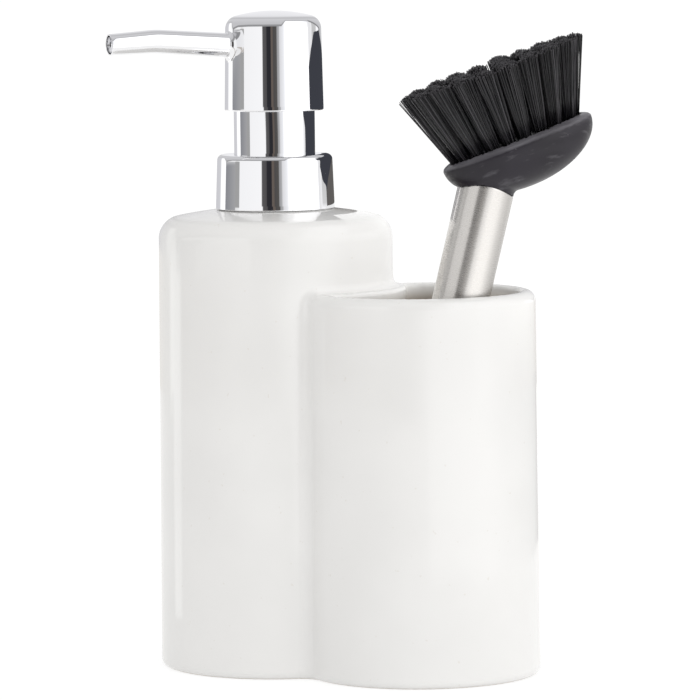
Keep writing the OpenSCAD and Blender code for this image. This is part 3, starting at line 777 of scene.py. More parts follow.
@dataclass(frozen=True)
class Nylon(Finish):
    """Black nylon strands, each with its own shade and gloss."""

    dark: tuple = rgb(0.005, 0.0048, 0.006)
    pale: tuple = rgb(0.115, 0.108, 0.12)

    def make(self, graph: Graph) -> bpy.types.Material:
        """A strand's shade comes from the attribute that its mesh carries.

        Args:
            graph: an empty material.

        Returns:
            The wired material.
        """
        shade = graph.node("ShaderNodeAttribute")
        shade.attribute_name = "shade"
        value = shade.outputs["Fac"]
        tone = graph.blend(value, self.dark, self.pale)
        rough = graph.spread(value, 0, 1, 0.26, 0.6)
        shader = graph.node("ShaderNodeBsdfPrincipled", Base_Color=tone, Roughness=rough, IOR=1.53)
        return graph.finish(shader)


@dataclass(frozen=True)
class Plastic(Finish):
    """Moulded plastic or elastomer in one shade, with a fine grain."""

    colour: tuple = rgb(0.8, 0.8, 0.78)
    rough: float = 0.4
    grain: float = 1500.0
    milky: float = 0.0

    def make(self, graph: Graph) -> bpy.types.Material:
        """Shade and gloss drift a little, and the surface has a fine grain.

        Args:
            graph: an empty material.

        Returns:
            The wired material.
        """
        at = graph.coordinates()
        low = tuple(c * 0.93 for c in self.colour[:3]) + (1.0,)
        tone = graph.blend(graph.spread(graph.noise(at, 70.0, 3), 0.3, 0.7, 0, 1), low, self.colour)
        rough = graph.spread(graph.noise(at, 300.0, 3), 0.3, 0.7, self.rough - 0.05, self.rough + 0.06)
        normal = graph.bump(graph.noise(at, self.grain, 2), 0.00001, 0.3)
        shader = graph.node("ShaderNodeBsdfPrincipled", Base_Color=tone, Roughness=rough, Normal=normal)
        if self.milky:
            graph.put(shader, "Transmission Weight", self.milky)
        return graph.finish(shader)


GLAZE = Glaze("white_glaze")
CHROME = Chrome("bright_chrome")
BRUSHED = BrushedSteel("ring_brushed_steel")
DRAWN = DrawnSteel("drawn_steel")
RUBBER = SoftRubber("matte_dark_rubber")
NYLON = Nylon("black_nylon")
WHITE_PLASTIC = Plastic("natural_white_plastic")
INSERT_PLASTIC = Plastic("insert_white_plastic", rgb(0.77, 0.77, 0.76), 0.45)
ELASTOMER = Plastic("grey_elastomer", rgb(0.34, 0.34, 0.33), 0.6)
TUBE_PLASTIC = Plastic("cloudy_tube_plastic", rgb(0.78, 0.79, 0.78), 0.25, 1500.0, 0.5)
BLOCK_PLASTIC = Plastic("black_block_plastic", rgb(0.012, 0.012, 0.013), 0.45)


# ---------------------------------------------------------------- the caddy


@dataclass
class Caddy:
    """The glazed bottle and cup, and the plastic neck glued in the bottle."""

    bottle_r: float = 38.6
    dome_top: float = 148.3
    dome_r: float = 166.0
    shoulder_r: float = 5.5
    cup_r: float = 37.9
    cup_h: float = 122.2
    cup_x: float = 51.5
    draft: float = math.tan(math.radians(0.4))
    wall: float = 4.5
    floor: float = 5.5
    foot_round: float = 2.3
    rim_round: float = 3.2
    valley_r: float = 3.6
    ledge_w: float = 4.1
    ledge_fillet: float = 2.8
    horn_r: float = 6.0
    floor_round: float = 3.5
    hole_r: float = 15.0
    land_w: float = 2.4
    ledge_from: float = 8.0
    ledge_over: float = 6.0
    thread_r: tuple[float, float] = (13.2, 13.68)
    thread_under_top: tuple[float, float] = (7.9, 1.6)
    thread_pitch: float = 3.2
    thread_width: float = 1.5
    net_step: float = 1.12 if FINE else 2.0
    tall_step: float = 3.2
    fine_step: float = 0.62 if FINE else 1.0
    fine_above: float = 4.0

    def horn(self) -> np.ndarray:
        """Centre of the rounding at an end of the crescent: it touches the ledge's wall and the cup's wall.

        Returns:
            Its place in plan, on the side of positive y.
        """
        a = self.bottle_r - self.cup_h * self.draft + self.ledge_w + self.horn_r
        b = self.cup_bore() - self.horn_r
        x = (a * a - b * b + self.cup_x**2) / (2 * self.cup_x)
        return np.array([x, math.sqrt(a * a - x * x)])

    def cup_bore(self) -> float:
        """Inner radius of the cup."""
        return self.cup_r - self.cup_h * self.draft - self.wall

    def well(self, x: np.ndarray, y: np.ndarray) -> np.ndarray:
        """Distance in plan to the crescent: the nearest of two inset arcs and two inset corners, less the rounding.

        Args:
            x: places along x.
            y: places along y.

        Returns:
            The distance, negative in the crescent.
        """
        small = self.cup_bore() - self.horn_r
        large = self.bottle_r - self.cup_h * self.draft + self.ledge_w + self.horn_r
        horn = self.horn()
        to_cup = np.maximum(np.hypot(x - self.cup_x, y), 1e-9)
        to_bottle = np.maximum(np.hypot(x, y), 1e-9)
        a, b = to_cup - small, large - to_bottle
        on_cup = np.hypot(self.cup_x + (x - self.cup_x) / to_cup * small, y / to_cup * small) >= large
        on_ledge = np.hypot(x / to_bottle * large - self.cup_x, y / to_bottle * large) <= small
        far = np.hypot(x - horn[0], np.abs(y) - horn[1])
        outside = np.minimum(far, np.where(on_cup, np.abs(a), np.inf))
        outside = np.minimum(outside, np.where(on_ledge, np.abs(b), np.inf))
        return np.where((a < 0) & (b < 0), np.maximum(a, b), outside) - self.horn_r

    def field(self, p: np.ndarray) -> np.ndarray:
        """Distance to the ceramic: two drafted columns joined by fillets, less the cup's and the soap's hollows.

        Args:
            p: points by 3, in millimetres.

        Returns:
            The distance, negative in the ceramic.
        """
        x, y, z = p[:, 0], p[:, 1], p[:, 2]
        r_bottle, r_cup = np.hypot(x, y), np.hypot(x - self.cup_x, y)
        dome = np.hypot(r_bottle, z - (self.dome_top - self.dome_r)) - self.dome_r
        bottle = common_round(r_bottle - (self.bottle_r - z * self.draft), dome, self.shoulder_r)
        cup = common_round(r_cup - (self.cup_r - z * self.draft), z - self.cup_h, self.rim_round)
        rise = np.clip((z - self.cup_h + self.ledge_from) / self.ledge_over, 0, 1)
        fillet = self.valley_r + (self.ledge_fillet - self.valley_r) * rise * rise * (3 - 2 * rise)
        solid = common_round(join_round(bottle, cup, fillet), -z, self.foot_round)
        well = common_round(self.well(x, y), self.floor - z, self.floor_round)
        solid = common_round(solid, -well, self.wall - self.rim_round)
        cavity_r = self.bottle_r - self.dome_top * self.draft - self.wall
        cavity = common_round(r_bottle - cavity_r, self.floor - z, self.floor_round * 2)
        cavity = common_round(cavity, dome + self.wall, self.floor_round * 2)
        solid = np.maximum(solid, -cavity)
        hole = np.maximum(r_bottle - self.hole_r, self.cup_h - z)
        solid = np.maximum(solid, -hole)
        land_r = self.hole_r + self.land_w
        land_z = self.dome_top - self.dome_r + math.sqrt(self.dome_r**2 - land_r**2)
        return np.maximum(solid, -np.maximum(r_bottle - land_r - 1, land_z - z))

    def build(self) -> None:
        """Makes the ceramic and the neck's thread, and dresses the insert."""
        low, high = box_mm("ceramic_body")
        rows = [
            (-1.5 * self.fine_step, self.fine_step),
            (self.floor + self.floor_round * 2, self.tall_step),
            (self.cup_h - self.ledge_from, self.fine_step),
            (self.cup_h + self.fine_above, self.net_step),
        ]
        axes = [even_axis(low[k], high[k], self.net_step) for k in range(2)]
        axes.append(graded_axis(rows, self.dome_top + 4 * self.net_step))
        patch, normals = net_surface(self.field, axes)
        patch.points[:, 2] = np.clip(patch.points[:, 2], low[2], high[2])
        Piece("glazed_caddy", Body.CADDY, Slot.GLAZE, GLAZE, ("ceramic_body",)).build(patch, normals=normals)
        _, top = box_mm("neck_insert")
        start, end = (top[2] - drop for drop in self.thread_under_top)
        ridge = helix_ridge(*self.thread_r, start, end, self.thread_pitch, self.thread_width, outward=True)
        Piece("neck_thread", Body.CADDY, Slot.INSERT, INSERT_PLASTIC).build(ridge)
        dress_node("neck_insert", INSERT_PLASTIC)


def helix_ridge(
    root_r: float, crest_r: float, bottom: float, top: float, pitch: float, width: float, outward: bool
) -> Patch:
    """Thread ridge: a four-cornered section carried up a helix, which fades into its wall at both ends.

    The section's corners are (root, -w/2), (crest, -w/4), (crest, w/4) and (root, w/2), and the helix rises by
    the pitch in each turn.

    Args:
        root_r: radius of the wall that carries the ridge.
        crest_r: radius of its crest.
        bottom: height of its start.
        top: height of its end.
        pitch: rise in each turn.
        width: its width at the root.
        outward: True on a neck, False in a cap.

    Returns:
        The closed ridge.
    """
    turns = (top - bottom) / pitch
    a = np.linspace(0, turns * 2 * math.pi, int(turns * THREAD_STEPS))
    fade = np.clip(np.minimum(a, a[-1] - a) / THREAD_FADE, 0, 1)[:, None]
    sunk = THREAD_SINK if outward else -THREAD_SINK
    reach = np.array([-sunk, crest_r - root_r, crest_r - root_r, -sunk]) * fade - sunk * (1 - fade)
    lift = np.array([-0.5, -0.25, 0.25, 0.5]) * width
    if not outward:
        lift = -lift
    r = root_r + reach
    z = bottom + a[:, None] * pitch / (2 * math.pi) + lift
    body = grid_patch(np.stack([r * np.cos(a)[:, None], r * np.sin(a)[:, None], z], -1), wrap_columns=True)
    last = len(a) * 4 - 4
    ends = np.array([[3, 2, 1, 0], [last, last + 1, last + 2, last + 3]])
    flipped = body.quads[:, ::-1]
    return Patch(body.points, np.vstack([flipped, ends[:, ::-1]]))


def dress_node(node: str, finish: Finish) -> None:
    """Gives a CAD node that stays in view its finish.

    Args:
        node: the node's name.
        finish: its finish.
    """
    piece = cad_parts[node]
    piece.data.materials.clear()
    piece.data.materials.append(finish.material())
    log.info("%s: dressed", node)


# ---------------------------------------------------------------- the pump


@dataclass
class Closure:
    """The chrome collar with its guide sleeve, and the threaded cap inside."""

    top_round: float = 1.8
    foot_round: float = 0.25
    foot_flare: float = 0.12
    foot_drop: float = 0.2
    top_inset: float = 0.55
    wall: float = 0.8
    sleeve_r: float = 13.0
    sleeve_gap: float = 0.04
    thread_r: tuple[float, float] = (14.3, 13.78)
    thread_inset: tuple[float, float] = (1.4, 4.2)
    thread_pitch: float = 3.2
    thread_width: float = 1.3
    steps: int = 192

    def build(self) -> None:
        """Makes the collar, the sleeve and the cap's thread."""
        low, high = box_mm("collar_shell")
        _, sleeve_top = box_mm("guide_sleeve")
        foot_r, top_r = high[0] + self.foot_flare, high[0] - self.top_inset
        foot = low[2] - self.foot_drop
        sleeve_r, bore_r = self.sleeve_r, self.sleeve_r + self.sleeve_gap
        inner_top = high[2] - self.wall
        outline = rounded(
            [
                (bore_r, inner_top, 0),
                (top_r - self.wall, inner_top, 1.0),
                (foot_r - self.wall, foot, 0.2),
                (foot_r, foot, self.foot_round),
                (top_r, high[2], self.top_round),
                (bore_r, high[2], 0),
            ]
        )
        outline = split_long(np.vstack([outline, outline[:1]]), 2.0)[:-1]
        collar = revolve(outline, self.steps, closed=True)
        Piece("chrome_collar", Body.CLOSURE, Slot.CHROME, CHROME, ("collar_shell",)).build(collar)
        foot = inner_top - 0.05
        outline = rounded(
            [
                (sleeve_r - self.wall, foot - self.wall, 0),
                (sleeve_r + self.top_round, foot - self.wall, 0.1),
                (sleeve_r + self.top_round, foot, 0.1),
                (sleeve_r, foot, 0.05),
                (sleeve_r, sleeve_top[2], 0.3),
                (sleeve_r - self.wall, sleeve_top[2], 0.3),
                (sleeve_r - self.wall, foot - self.wall, 0),
            ],
        )
        sleeve = revolve(split_long(outline, 2.0), self.steps)
        Piece("chrome_sleeve", Body.CLOSURE, Slot.CHROME, CHROME, ("guide_sleeve",)).build(sleeve)
        low, high = box_mm("threaded_cap")
        start, end = low[2] + self.thread_inset[0], high[2] - self.thread_inset[1]
        ridge = helix_ridge(*self.thread_r, start, end, self.thread_pitch, self.thread_width, outward=False)
        Piece("cap_thread", Body.CLOSURE, Slot.PUMP, WHITE_PLASTIC).build(ridge)
        dress_node("threaded_cap", WHITE_PLASTIC)


@dataclass
class Head:
    """The chrome head with its nozzle."""

    top_r: float = 15.4
    foot_r: float = 15.9
    shoulder_r: float = 4.4
    dome_r: float = 47.0
    wall: float = 1.0
    rim_round: float = 0.49
    rim_drop: float = 0.9
    turn: float = -129.0
    drop: float = 11.9
    rise: float = 4.0
    fall: float = 2.9
    root_at: float = 13.0
    bend_at: float = 39.0
    bend_r: float = 30.0
    end: float = 13.6
    root_r: float = 3.92
    mid_r: float = 3.8
    tip_r: float = 3.4
    mouth_r: float = 2.95
    mouth_depth: float = 2.2
    bore_r: float = 0.9
    lip_r: float = 0.16
    lip_steps: int = 5
    socket_fillet: float = 1.5
    socket_lap: float = 0.02
    socket_head_r: float = 15.52
    steps: int = 192

    def shell(self, low: np.ndarray, high: np.ndarray) -> Patch:
        """Head: a drafted side, a round shoulder and a shallow dome, as outer and inner profile in one turn.

        Args:
            low: lowest corner of the CAD shell.
            high: its highest corner.

        Returns:
            The closed shell.
        """
        foot_r, foot, top = self.foot_r, low[2] - self.rim_drop, high[2]
        centre_x = self.top_r - self.shoulder_r
        dome_z = top - self.dome_r
        centre_z = dome_z + math.sqrt((self.dome_r - self.shoulder_r) ** 2 - centre_x**2)
        meet = math.atan2(centre_z - dome_z, centre_x)

        def skin(inset: float) -> np.ndarray:
            """Outline from the pole down to the side, drawn in by the inset.

            Args:
                inset: how far it is drawn in.

            Returns:
                Points as (radius, height).
            """
            a = np.linspace(math.pi / 2, meet, 24)
            dome = np.stack([np.cos(a), np.sin(a)], -1) * (self.dome_r - inset) + (0, dome_z)
            a = np.linspace(meet, 0, 20)[1:]
            arc = np.stack([np.cos(a), np.sin(a)], -1) * (self.shoulder_r - inset) + (centre_x, centre_z)
            return np.vstack([dome, arc])

        outer, inner = skin(0.0), skin(self.wall)
        rim = rounded(
            [
                (self.top_r, centre_z, 0),
                (foot_r, foot, self.rim_round),
                (foot_r - self.wall, foot, self.rim_round),
                (self.top_r - self.wall, centre_z, 0),
            ]
        )
        line = np.vstack([outer, split_long(rim, 2.0)[1:-1], inner[::-1]])
        return revolve(line[::-1], self.steps)

    def path(self, top: float) -> tuple[np.ndarray, np.ndarray, np.ndarray]:
        """Centre line of the nozzle: straight, one arc and straight again, in a plane through the pump's axis.

        Args:
            top: height of the head's top.

        Returns:
            The points in the frame, their distance along the tube and the direction of the first stretch.
        """
        up = math.radians(self.rise)
        turn = math.radians(self.rise + self.fall)
        first = np.linspace(self.root_at, self.bend_at, 12)
        arc = np.linspace(0, turn, 9)[1:]
        last = np.linspace(0, self.end, 10)[1:]
        r = [first * math.cos(up)]
        z = [first * math.sin(up)]
        r.append(self.bend_at * math.cos(up) + self.bend_r * (math.sin(up) - np.sin(up - arc)))
        z.append(self.bend_at * math.sin(up) + self.bend_r * (np.cos(up - arc) - math.cos(up)))
        r.append(r[1][-1] + last * math.cos(up - turn))
        z.append(z[1][-1] + last * math.sin(up - turn))
        along = np.concatenate([first, self.bend_at + arc * self.bend_r, self.bend_at + turn * self.bend_r + last])
        r_all, z_all = np.concatenate(r), np.concatenate(z) + top - self.drop
        a = math.radians(self.turn)
        points = np.stack([r_all * math.cos(a), r_all * math.sin(a), z_all], -1)
        axis = np.array([math.cos(a) * math.cos(up), math.sin(a) * math.cos(up), math.sin(up)])
        return points, along, axis

    def nozzle(self, top: float) -> Patch:
        """Nozzle: a tapered tube out to the tip, over a round lip and back inside as its bore.

        Args:
            top: height of the head's top.

        Returns:
            The closed nozzle.
        """
        points, along, _ = self.path(top)
        taper = (self.root_r - self.mid_r) / (self.bend_at - self.top_r)
        tip = along[-1]
        radii = np.where(
            along < self.bend_at,
            self.mid_r + taper * (self.bend_at - along),
            self.mid_r + (self.tip_r - self.mid_r) * np.clip((along - self.bend_at) / (tip - self.bend_at), 0, 1),
        )
        lip, half = self.lip_r, self.lip_steps
        a = np.concatenate([np.linspace(0, math.pi / 2, half), np.linspace(math.pi / 2, math.pi, half)])
        middle = np.where(np.arange(2 * half) < half, self.tip_r - lip, self.mouth_r + lip)
        direction = (points[-1] - points[-2]) / np.linalg.norm(points[-1] - points[-2])
        ends = points[-1] - direction * lip
        lip_points = ends + direction * np.sin(a)[:, None] * lip
        lip_radii = middle + np.cos(a) * lip
        step_points = points[-1] - direction * (self.mouth_depth + np.array([0, 0.1, 0.1, 0.2]))[:, None]
        step_radii = np.array([self.mouth_r, self.mouth_r - 0.1, self.bore_r + 0.1, self.bore_r])
        path = np.vstack([points[:-1], lip_points, step_points, points[-4::-1]])
        bore = np.full(len(points) - 3, self.bore_r)
        radii = np.concatenate([radii[:-1], lip_radii, step_radii, bore])
        flat = np.cross(direction, (0, 0, 1.0))
        flat = flat / np.linalg.norm(flat)
        ways = np.gradient(points, axis=0)
        mouth = np.tile(direction, (len(lip_points) + len(step_points), 1))
        along_now = np.vstack([ways[:-1], mouth, ways[-4::-1]])
        along_now = along_now / np.linalg.norm(along_now, axis=1, keepdims=True)
        up = np.cross(flat, along_now)
        s = np.arange(72) * 2 * math.pi / 72
        ring = up[:, None] * np.cos(s)[None, :, None] + flat * np.sin(s)[None, :, None]
        grid = path[:, None] + ring * radii[:, None, None]
        return grid_patch(grid, wrap_rows=True, wrap_columns=True)

    def socket(self, top: float) -> Patch:
        """Fillet at the nozzle's root: rings round the tube that flare by a quarter circle onto the head's side.

        A ring at angle a of the quarter circle has radius root + fillet (1 - sin a), and stands fillet (1 - cos a)
        off the head, whose side at a distance u beside the tube is sqrt(R^2 - u^2) from the pump's axis.

        Args:
            top: height of the head's top.

        Returns:
            The closed ring of the fillet.
        """
        points, _, axis = self.path(top)
        start = points[0] - axis * self.root_at
        side = np.cross(axis, (0, 0, 1.0))
        side = side / np.linalg.norm(side)
        up = np.cross(side, axis)
        s = np.arange(96) * 2 * math.pi / 96
        a = np.linspace(0, math.pi / 2, 12)
        radius = self.root_r + self.socket_lap + self.socket_fillet * (1 - np.sin(a))
        off = self.socket_fillet * (1 - np.cos(a))
        radius = np.concatenate([[radius[0] + 0.3], radius, [self.root_r - 0.4]])
        off = np.concatenate([[-0.6], off - 0.03, [self.socket_fillet + 0.35]])
        u = radius[:, None] * np.cos(s)
        v = radius[:, None] * np.sin(s)
        reach = np.sqrt(self.socket_head_r**2 - u**2) + off[:, None]
        grid = start + reach[..., None] * axis + u[..., None] * side + v[..., None] * up
        small = (self.root_r - 0.5) * np.stack([np.cos(s), np.sin(s)], -1)
        inside = start + (self.root_at - 0.5) * axis + small[:, :1] * side + small[:, 1:] * up
        return grid_patch(np.concatenate([grid, inside[None]]), wrap_rows=True, wrap_columns=True)

    def build(self) -> None:
        """Makes the shell with its socket, and the nozzle."""
        low, high = box_mm("head_shell")
        patch = self.shell(low, high) + self.socket(high[2])
        Piece("chrome_head", Body.HEAD, Slot.CHROME, CHROME, ("head_shell",)).build(patch, crease=50)
        Piece("chrome_nozzle", Body.HEAD, Slot.CHROME, CHROME, ("nozzle_tube",)).build(self.nozzle(high[2]))
        for node in ("stem", "head_core"):
            dress_node(node, WHITE_PLASTIC)


@dataclass
class Mechanism:
    """The pump's inner parts, with the coil that closes up as the head is pressed."""

    wire_r: float = 0.45
    turns: int = 7
    steps: int = 48
    sides: int = 16
    plastic: tuple[str, ...] = ("pump_cylinder", "lock_ring", "valve_cage", "piston")
    soft: tuple[str, ...] = ("neck_gasket", "piston_seal")
    balls: tuple[str, ...] = ("inlet_ball", "outlet_ball")

    def coil(self, low: np.ndarray, high: np.ndarray) -> Patch:
        """Round wire carried up a helix, closed at both ends.

        The path is (R cos a, R sin a, z0 + h a / a_end). A point of the wire is path + w (u cos b + n sin b), with u
        the radial direction, n = tangent x u, and w, which falls to nothing on the first and last rows.

        Args:
            low: the spring's lowest corner in millimetres.
            high: its highest corner.

        Returns:
            The wire's surface.
        """
        a = np.linspace(0, 2 * math.pi * self.turns, self.turns * self.steps + 1)
        radius, rise = high[0] - self.wire_r, high[2] - low[2] - 2 * self.wire_r
        z = low[2] + self.wire_r + rise * a / a[-1]
        radial = np.stack([np.cos(a), np.sin(a), 0 * a], -1)
        along = np.stack([-radius * np.sin(a), radius * np.cos(a), 0 * a + rise / a[-1]], -1)
        across = np.cross(along, radial) / np.linalg.norm(along, axis=1, keepdims=True)
        path = np.stack([radius * np.cos(a), radius * np.sin(a), z], -1)
        rows = np.concatenate([[0], np.arange(len(a)), [len(a) - 1]])
        wire = np.full(len(rows), self.wire_r)
        wire[[0, -1]] = 0
        b = (np.arange(self.sides) * 2 * math.pi / self.sides)[None, :, None]
        section = radial[rows, None] * np.cos(b) + across[rows, None] * np.sin(b)
        return grid_patch(path[rows, None] + section * wire[:, None, None], wrap_columns=True)

    def build(self) -> None:
        """Gives the inner parts their finishes, and makes the coil."""
        for nodes, finish in ((self.plastic, WHITE_PLASTIC), (self.soft, ELASTOMER), (self.balls, DRAWN)):
            for node in nodes:
                dress_node(node, finish)
        dress_node("dip_tube", TUBE_PLASTIC)
        low, high = box_mm("return_spring")
        coil = Piece("return_coil", Body.PUMP, Slot.STEEL, DRAWN, ("return_spring",)).build(self.coil(low, high))
        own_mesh(coil)


# ---------------------------------------------------------------- the brush


def even_oval(count: int, half_l: float, half_w: float, offset: float) -> np.ndarray:
    """Points on an oval that are evenly spaced along it, from a share of a step past its +X end.

    Args:
        count: how many points.
        half_l: half length along x.
        half_w: half width along y.
        offset: share of a step by which the first one is moved on.

    Returns:
        The points, by 2.
    """
    a = np.linspace(0, 2 * math.pi, 1441)
    line = np.stack([half_l * np.cos(a), half_w * np.sin(a)], -1)
    run = np.concatenate([[0], np.cumsum(np.hypot(*np.diff(line, axis=0).T))])
    at = (np.arange(count) + offset) / count * run[-1]
    return np.stack([np.interp(at, run, line[:, k]) for k in range(2)], -1)


@dataclass
class Brush:
    """The brush that leans in the cup: steel handle, rubber head and nylon tufts."""

    # How it leans in the cup
    handle_run: float = 27.73
    lean_turn: float = 23.9
    roll: float = 9.0
    rest_turn: float = -27.0
    cup_bore: float = 32.547
    cup_x: float = 51.5
    cup_h: float = 122.2
    cup_floor: float = 5.5
    seat_gap: float = 0.3
    # Steel tube
    handle_r: float = 8.85
    handle_t: float = 1.2
    handle_h: float = 151.0
    tube_extra: float = 0.55
    cut_r: float = 19.0
    foot_round: float = 2.5
    cut_edge: float = 0.3
    # Rubber head
    head_angle: float = 34.1
    pad_l: float = 24.8
    pad_w: float = 13.8
    pad_depth: float = 14.0
    pad_lip: float = 3.6
    pad_shift: float = 10.6
    pad_power: float = 2.15
    pocket_wall: tuple[float, float] = (3.0, 2.88)
    pocket_edge: float = 0.5
    neck_fillet: float = 1.0
    neck_over: float = 2.0
    spigot_over: float = 4.0
    spigot_share: float = 2.5
    fit: float = 0.05
    # Strands, whose jitters are standard deviations in millimetres
    bristle_h: float = 24.2
    tuft_r: float = 1.72
    tuft_spread: float = 1.98
    tip_shift: float = 0.9
    tip_fall: float = 0.02
    tip_jitter: float = 0.16
    height_jitter: float = 0.16
    root_jitter: float = 0.05
    tuft_swing: float = 0.2
    tuft_rise: float = 0.2
    crown: float = 1.2
    bow: float = 0.35
    tip_over: float = 0.6
    root_depth: float = 0.6
    strand_r: float = 0.17
    strand_pale: float = 0.45
    strands: int = 110 if FINE else 50
    rings: tuple[int, ...] = (18, 12, 5)
    ring_inset: tuple[float, float] = (2.14, 1.78)
    ring_pitch: float = 3.92
    flare_l: float = 1.38
    flare_w: float = 1.6
    # Spacing of the net that the rubber head is drawn on
    net_step: float = 0.8 if FINE else 1.4

    def place(self) -> Place:
        """The handle's own frame: its foot is the origin and +Z runs up the handle.

        Returns:
            The place, in millimetres.
        """
        lean = math.atan(self.handle_run / (self.cup_h - self.cup_floor - self.seat_gap))
        drop = (self.handle_r - self.foot_round) * math.sin(lean) + self.foot_round * (1 - math.cos(lean))
        z = self.cup_floor + self.seat_gap + drop
        reach = self.cup_bore - self.handle_r / math.cos(lean) - self.seat_gap
        run = (self.cup_h - z) * math.tan(lean)
        rest, way = math.radians(self.rest_turn), math.radians(self.lean_turn)
        x = self.cup_x + reach * math.cos(rest) - run * math.cos(way)
        y = reach * math.sin(rest) - run * math.sin(way)
        turn = turn_z(self.lean_turn) @ turn_y(math.degrees(lean)) @ turn_z(self.roll)
        return Place(turn, np.array([x, y, z]))

    def pad_place(self) -> Place:
        """The head's own frame: the bristles stand along +Z over its middle.

        Returns:
            The place, in millimetres.
        """
        tilt = turn_y(-self.head_angle)
        joint = np.array([0, 0, self.handle_h + self.handle_r - self.handle_t])
        return self.place().then(tilt, joint + tilt @ np.array([self.pad_shift, 0, self.handle_r / 2]))

    def pocket(self) -> tuple[float, float]:
        """Half length and half width of the oval pocket that holds the block."""
        return self.pad_l - self.pocket_wall[0], self.pad_w - self.pocket_wall[1]

    def saddle(self, y: np.ndarray) -> np.ndarray:
        """Height of the tube's cut end: a circle of the cut's radius that rests on the tube's end."""
        return self.handle_h + self.tube_extra + self.cut_r - np.sqrt(self.cut_r**2 - y * y)

    def tube(self) -> Patch:
        """Tube wall: rows of rings up the outside, over the cut edge and down the inside.

        Returns:
            The closed wall in the handle's frame.
        """
        a = np.arange(160) * 2 * math.pi / 160
        foot = self.foot_round * 2
        edge = self.cut_edge
        b = np.linspace(0, math.pi / 2, 5)
        inner_r = self.handle_r - self.handle_t
        up = np.concatenate([[0.0], np.linspace(0.004, 0.996, 40), [1.0]])
        drawn_in, lift = edge * (1 - np.cos(b)), edge * np.sin(b)
        outside, inside = np.full(len(up), self.handle_r), np.full(len(up) - 1, inner_r)
        r = np.concatenate([outside, self.handle_r - drawn_in[1:], inner_r + drawn_in[::-1], inside])[:, None]
        lifts = np.concatenate([0 * up, lift[1:], lift[::-1], 0 * up[1:]])[:, None]
        shares = np.concatenate([up, np.ones(2 * len(b) - 1), up[::-1][1:]])[:, None]
        x, y = r * np.cos(a), r * np.sin(a)
        top = self.saddle(self.handle_r * np.sin(a)) - edge
        z = foot + (top - foot) * shares + lifts
        return grid_patch(np.stack([x, y, z], -1), wrap_rows=True, wrap_columns=True)

    def head_field(self, q: np.ndarray) -> np.ndarray:
        """Distance to the rubber head, in the handle's frame: a rounded hull with a pocket, on a neck and a spigot.

        Args:
            q: points by 3 in the handle's frame.

        Returns:
            The distance, negative in the rubber.
        """
        place, pad = self.place(), self.pad_place()
        turn = place.turn.T @ pad.turn
        shift = place.into(pad.shift[None])[0]
        p = (q - shift) @ turn

        def hull(p: np.ndarray) -> np.ndarray:
            """Zero on the hull: power mean of the plan oval and the height over its depth or lip.

            Args:
                p: points by 3 in the head's frame.

            Returns:
                The value, negative inside.
            """
            n = self.pad_power
            plan = (np.abs(p[:, 0] / self.pad_l) ** n + np.abs(p[:, 1] / self.pad_w) ** n) ** (1 / n)
            tall = np.where(p[:, 2] < 0, -p[:, 2] / self.pad_depth, p[:, 2] / self.pad_lip)
            return np.sqrt(plan**2 + tall**2) - 1

        value = hull(p)
        steep = np.maximum(np.linalg.norm(slope(hull, p), axis=1), 1e-3)
        body = value / steep
        pocket_l, pocket_w = self.pocket()
        oval = np.hypot(p[:, 0] / pocket_l, p[:, 1] / pocket_w) - 1
        pocket = np.maximum(oval * pocket_w, -self.pad_lip / 2 - p[:, 2])
        body = common_round(body, -pocket, self.pocket_edge)
        x, y, z = q[:, 0], q[:, 1], q[:, 2]
        r = np.hypot(x, y)
        cut = self.saddle(np.clip(y, -self.handle_r, self.handle_r))
        neck_top = self.handle_h + self.handle_r + self.neck_over
        neck = np.maximum(np.maximum(r - self.handle_r, cut + self.fit - z), z - neck_top)
        whole = join_round(body, neck, self.neck_fillet)
        # The hull is hollowed where the tube's end passes into it.
        bore = np.maximum(r - self.handle_r - self.fit, z - cut - self.fit)
        whole = np.maximum(whole, -bore)
        spigot_r = self.handle_r - self.handle_t - self.fit
        spigot = np.maximum(np.maximum(r - spigot_r, self.spigot_foot() - z), z - self.handle_h - self.spigot_over)
        return np.minimum(whole, spigot)

    def spigot_foot(self) -> float:
        """Height of the lower end of the rubber spigot in the tube."""
        return self.handle_h - self.handle_r * self.spigot_share

    def strand_mesh(self) -> tuple[np.ndarray, list[list[int]], np.ndarray]:
        """All strands: four-sided rods from the roots of the tufts out to their flared, uneven tips.

        A tuft's strands stand on a sunflower spiral, radius sqrt(k / n) and angle k times the golden angle. A rod
        follows root + (tip - root) t, plus a bow of its own times 2 t (1 - t).

        Returns:
            The points in the head's frame, the faces, and the shade of each point.
        """
        rng = np.random.default_rng(7)
        pocket_l, pocket_w = self.pocket()
        pitch = self.ring_pitch
        ring_l, ring_w = pocket_l - self.ring_inset[0], pocket_w - self.ring_inset[1]
        centres = np.vstack(
            [even_oval(count, ring_l - k * pitch, ring_w - k * pitch, k / 2) for k, count in enumerate(self.rings)]
        )
        n = self.strands
        k = np.arange(n) + 0.5
        spiral = np.sqrt(k / n)[:, None] * np.stack([np.cos(k * GOLDEN_ANGLE), np.sin(k * GOLDEN_ANGLE)], -1)
        tufts = len(centres)
        local = np.tile(spiral, (tufts, 1)) + rng.normal(0, self.root_jitter, (tufts * n, 2))
        centre = np.repeat(centres, n, axis=0)
        root = centre + local * self.tuft_r
        swing = np.repeat(rng.normal(0, self.tuft_swing, (tufts, 2)), n, axis=0)
        tip = centre * (self.flare_l, self.flare_w) + swing + local * self.tuft_r * self.tuft_spread
        tip += rng.normal(0, self.tip_jitter, tip.shape) + (self.tip_shift, 0)
        rise = np.repeat(rng.normal(0, self.tuft_rise, tufts), n)
        crown = self.crown * (local**2).sum(1)
        height = self.bristle_h + self.tip_over + rise - crown - self.tip_fall * (tip[:, 0] + 25)
        height += rng.normal(0, self.height_jitter, len(local))
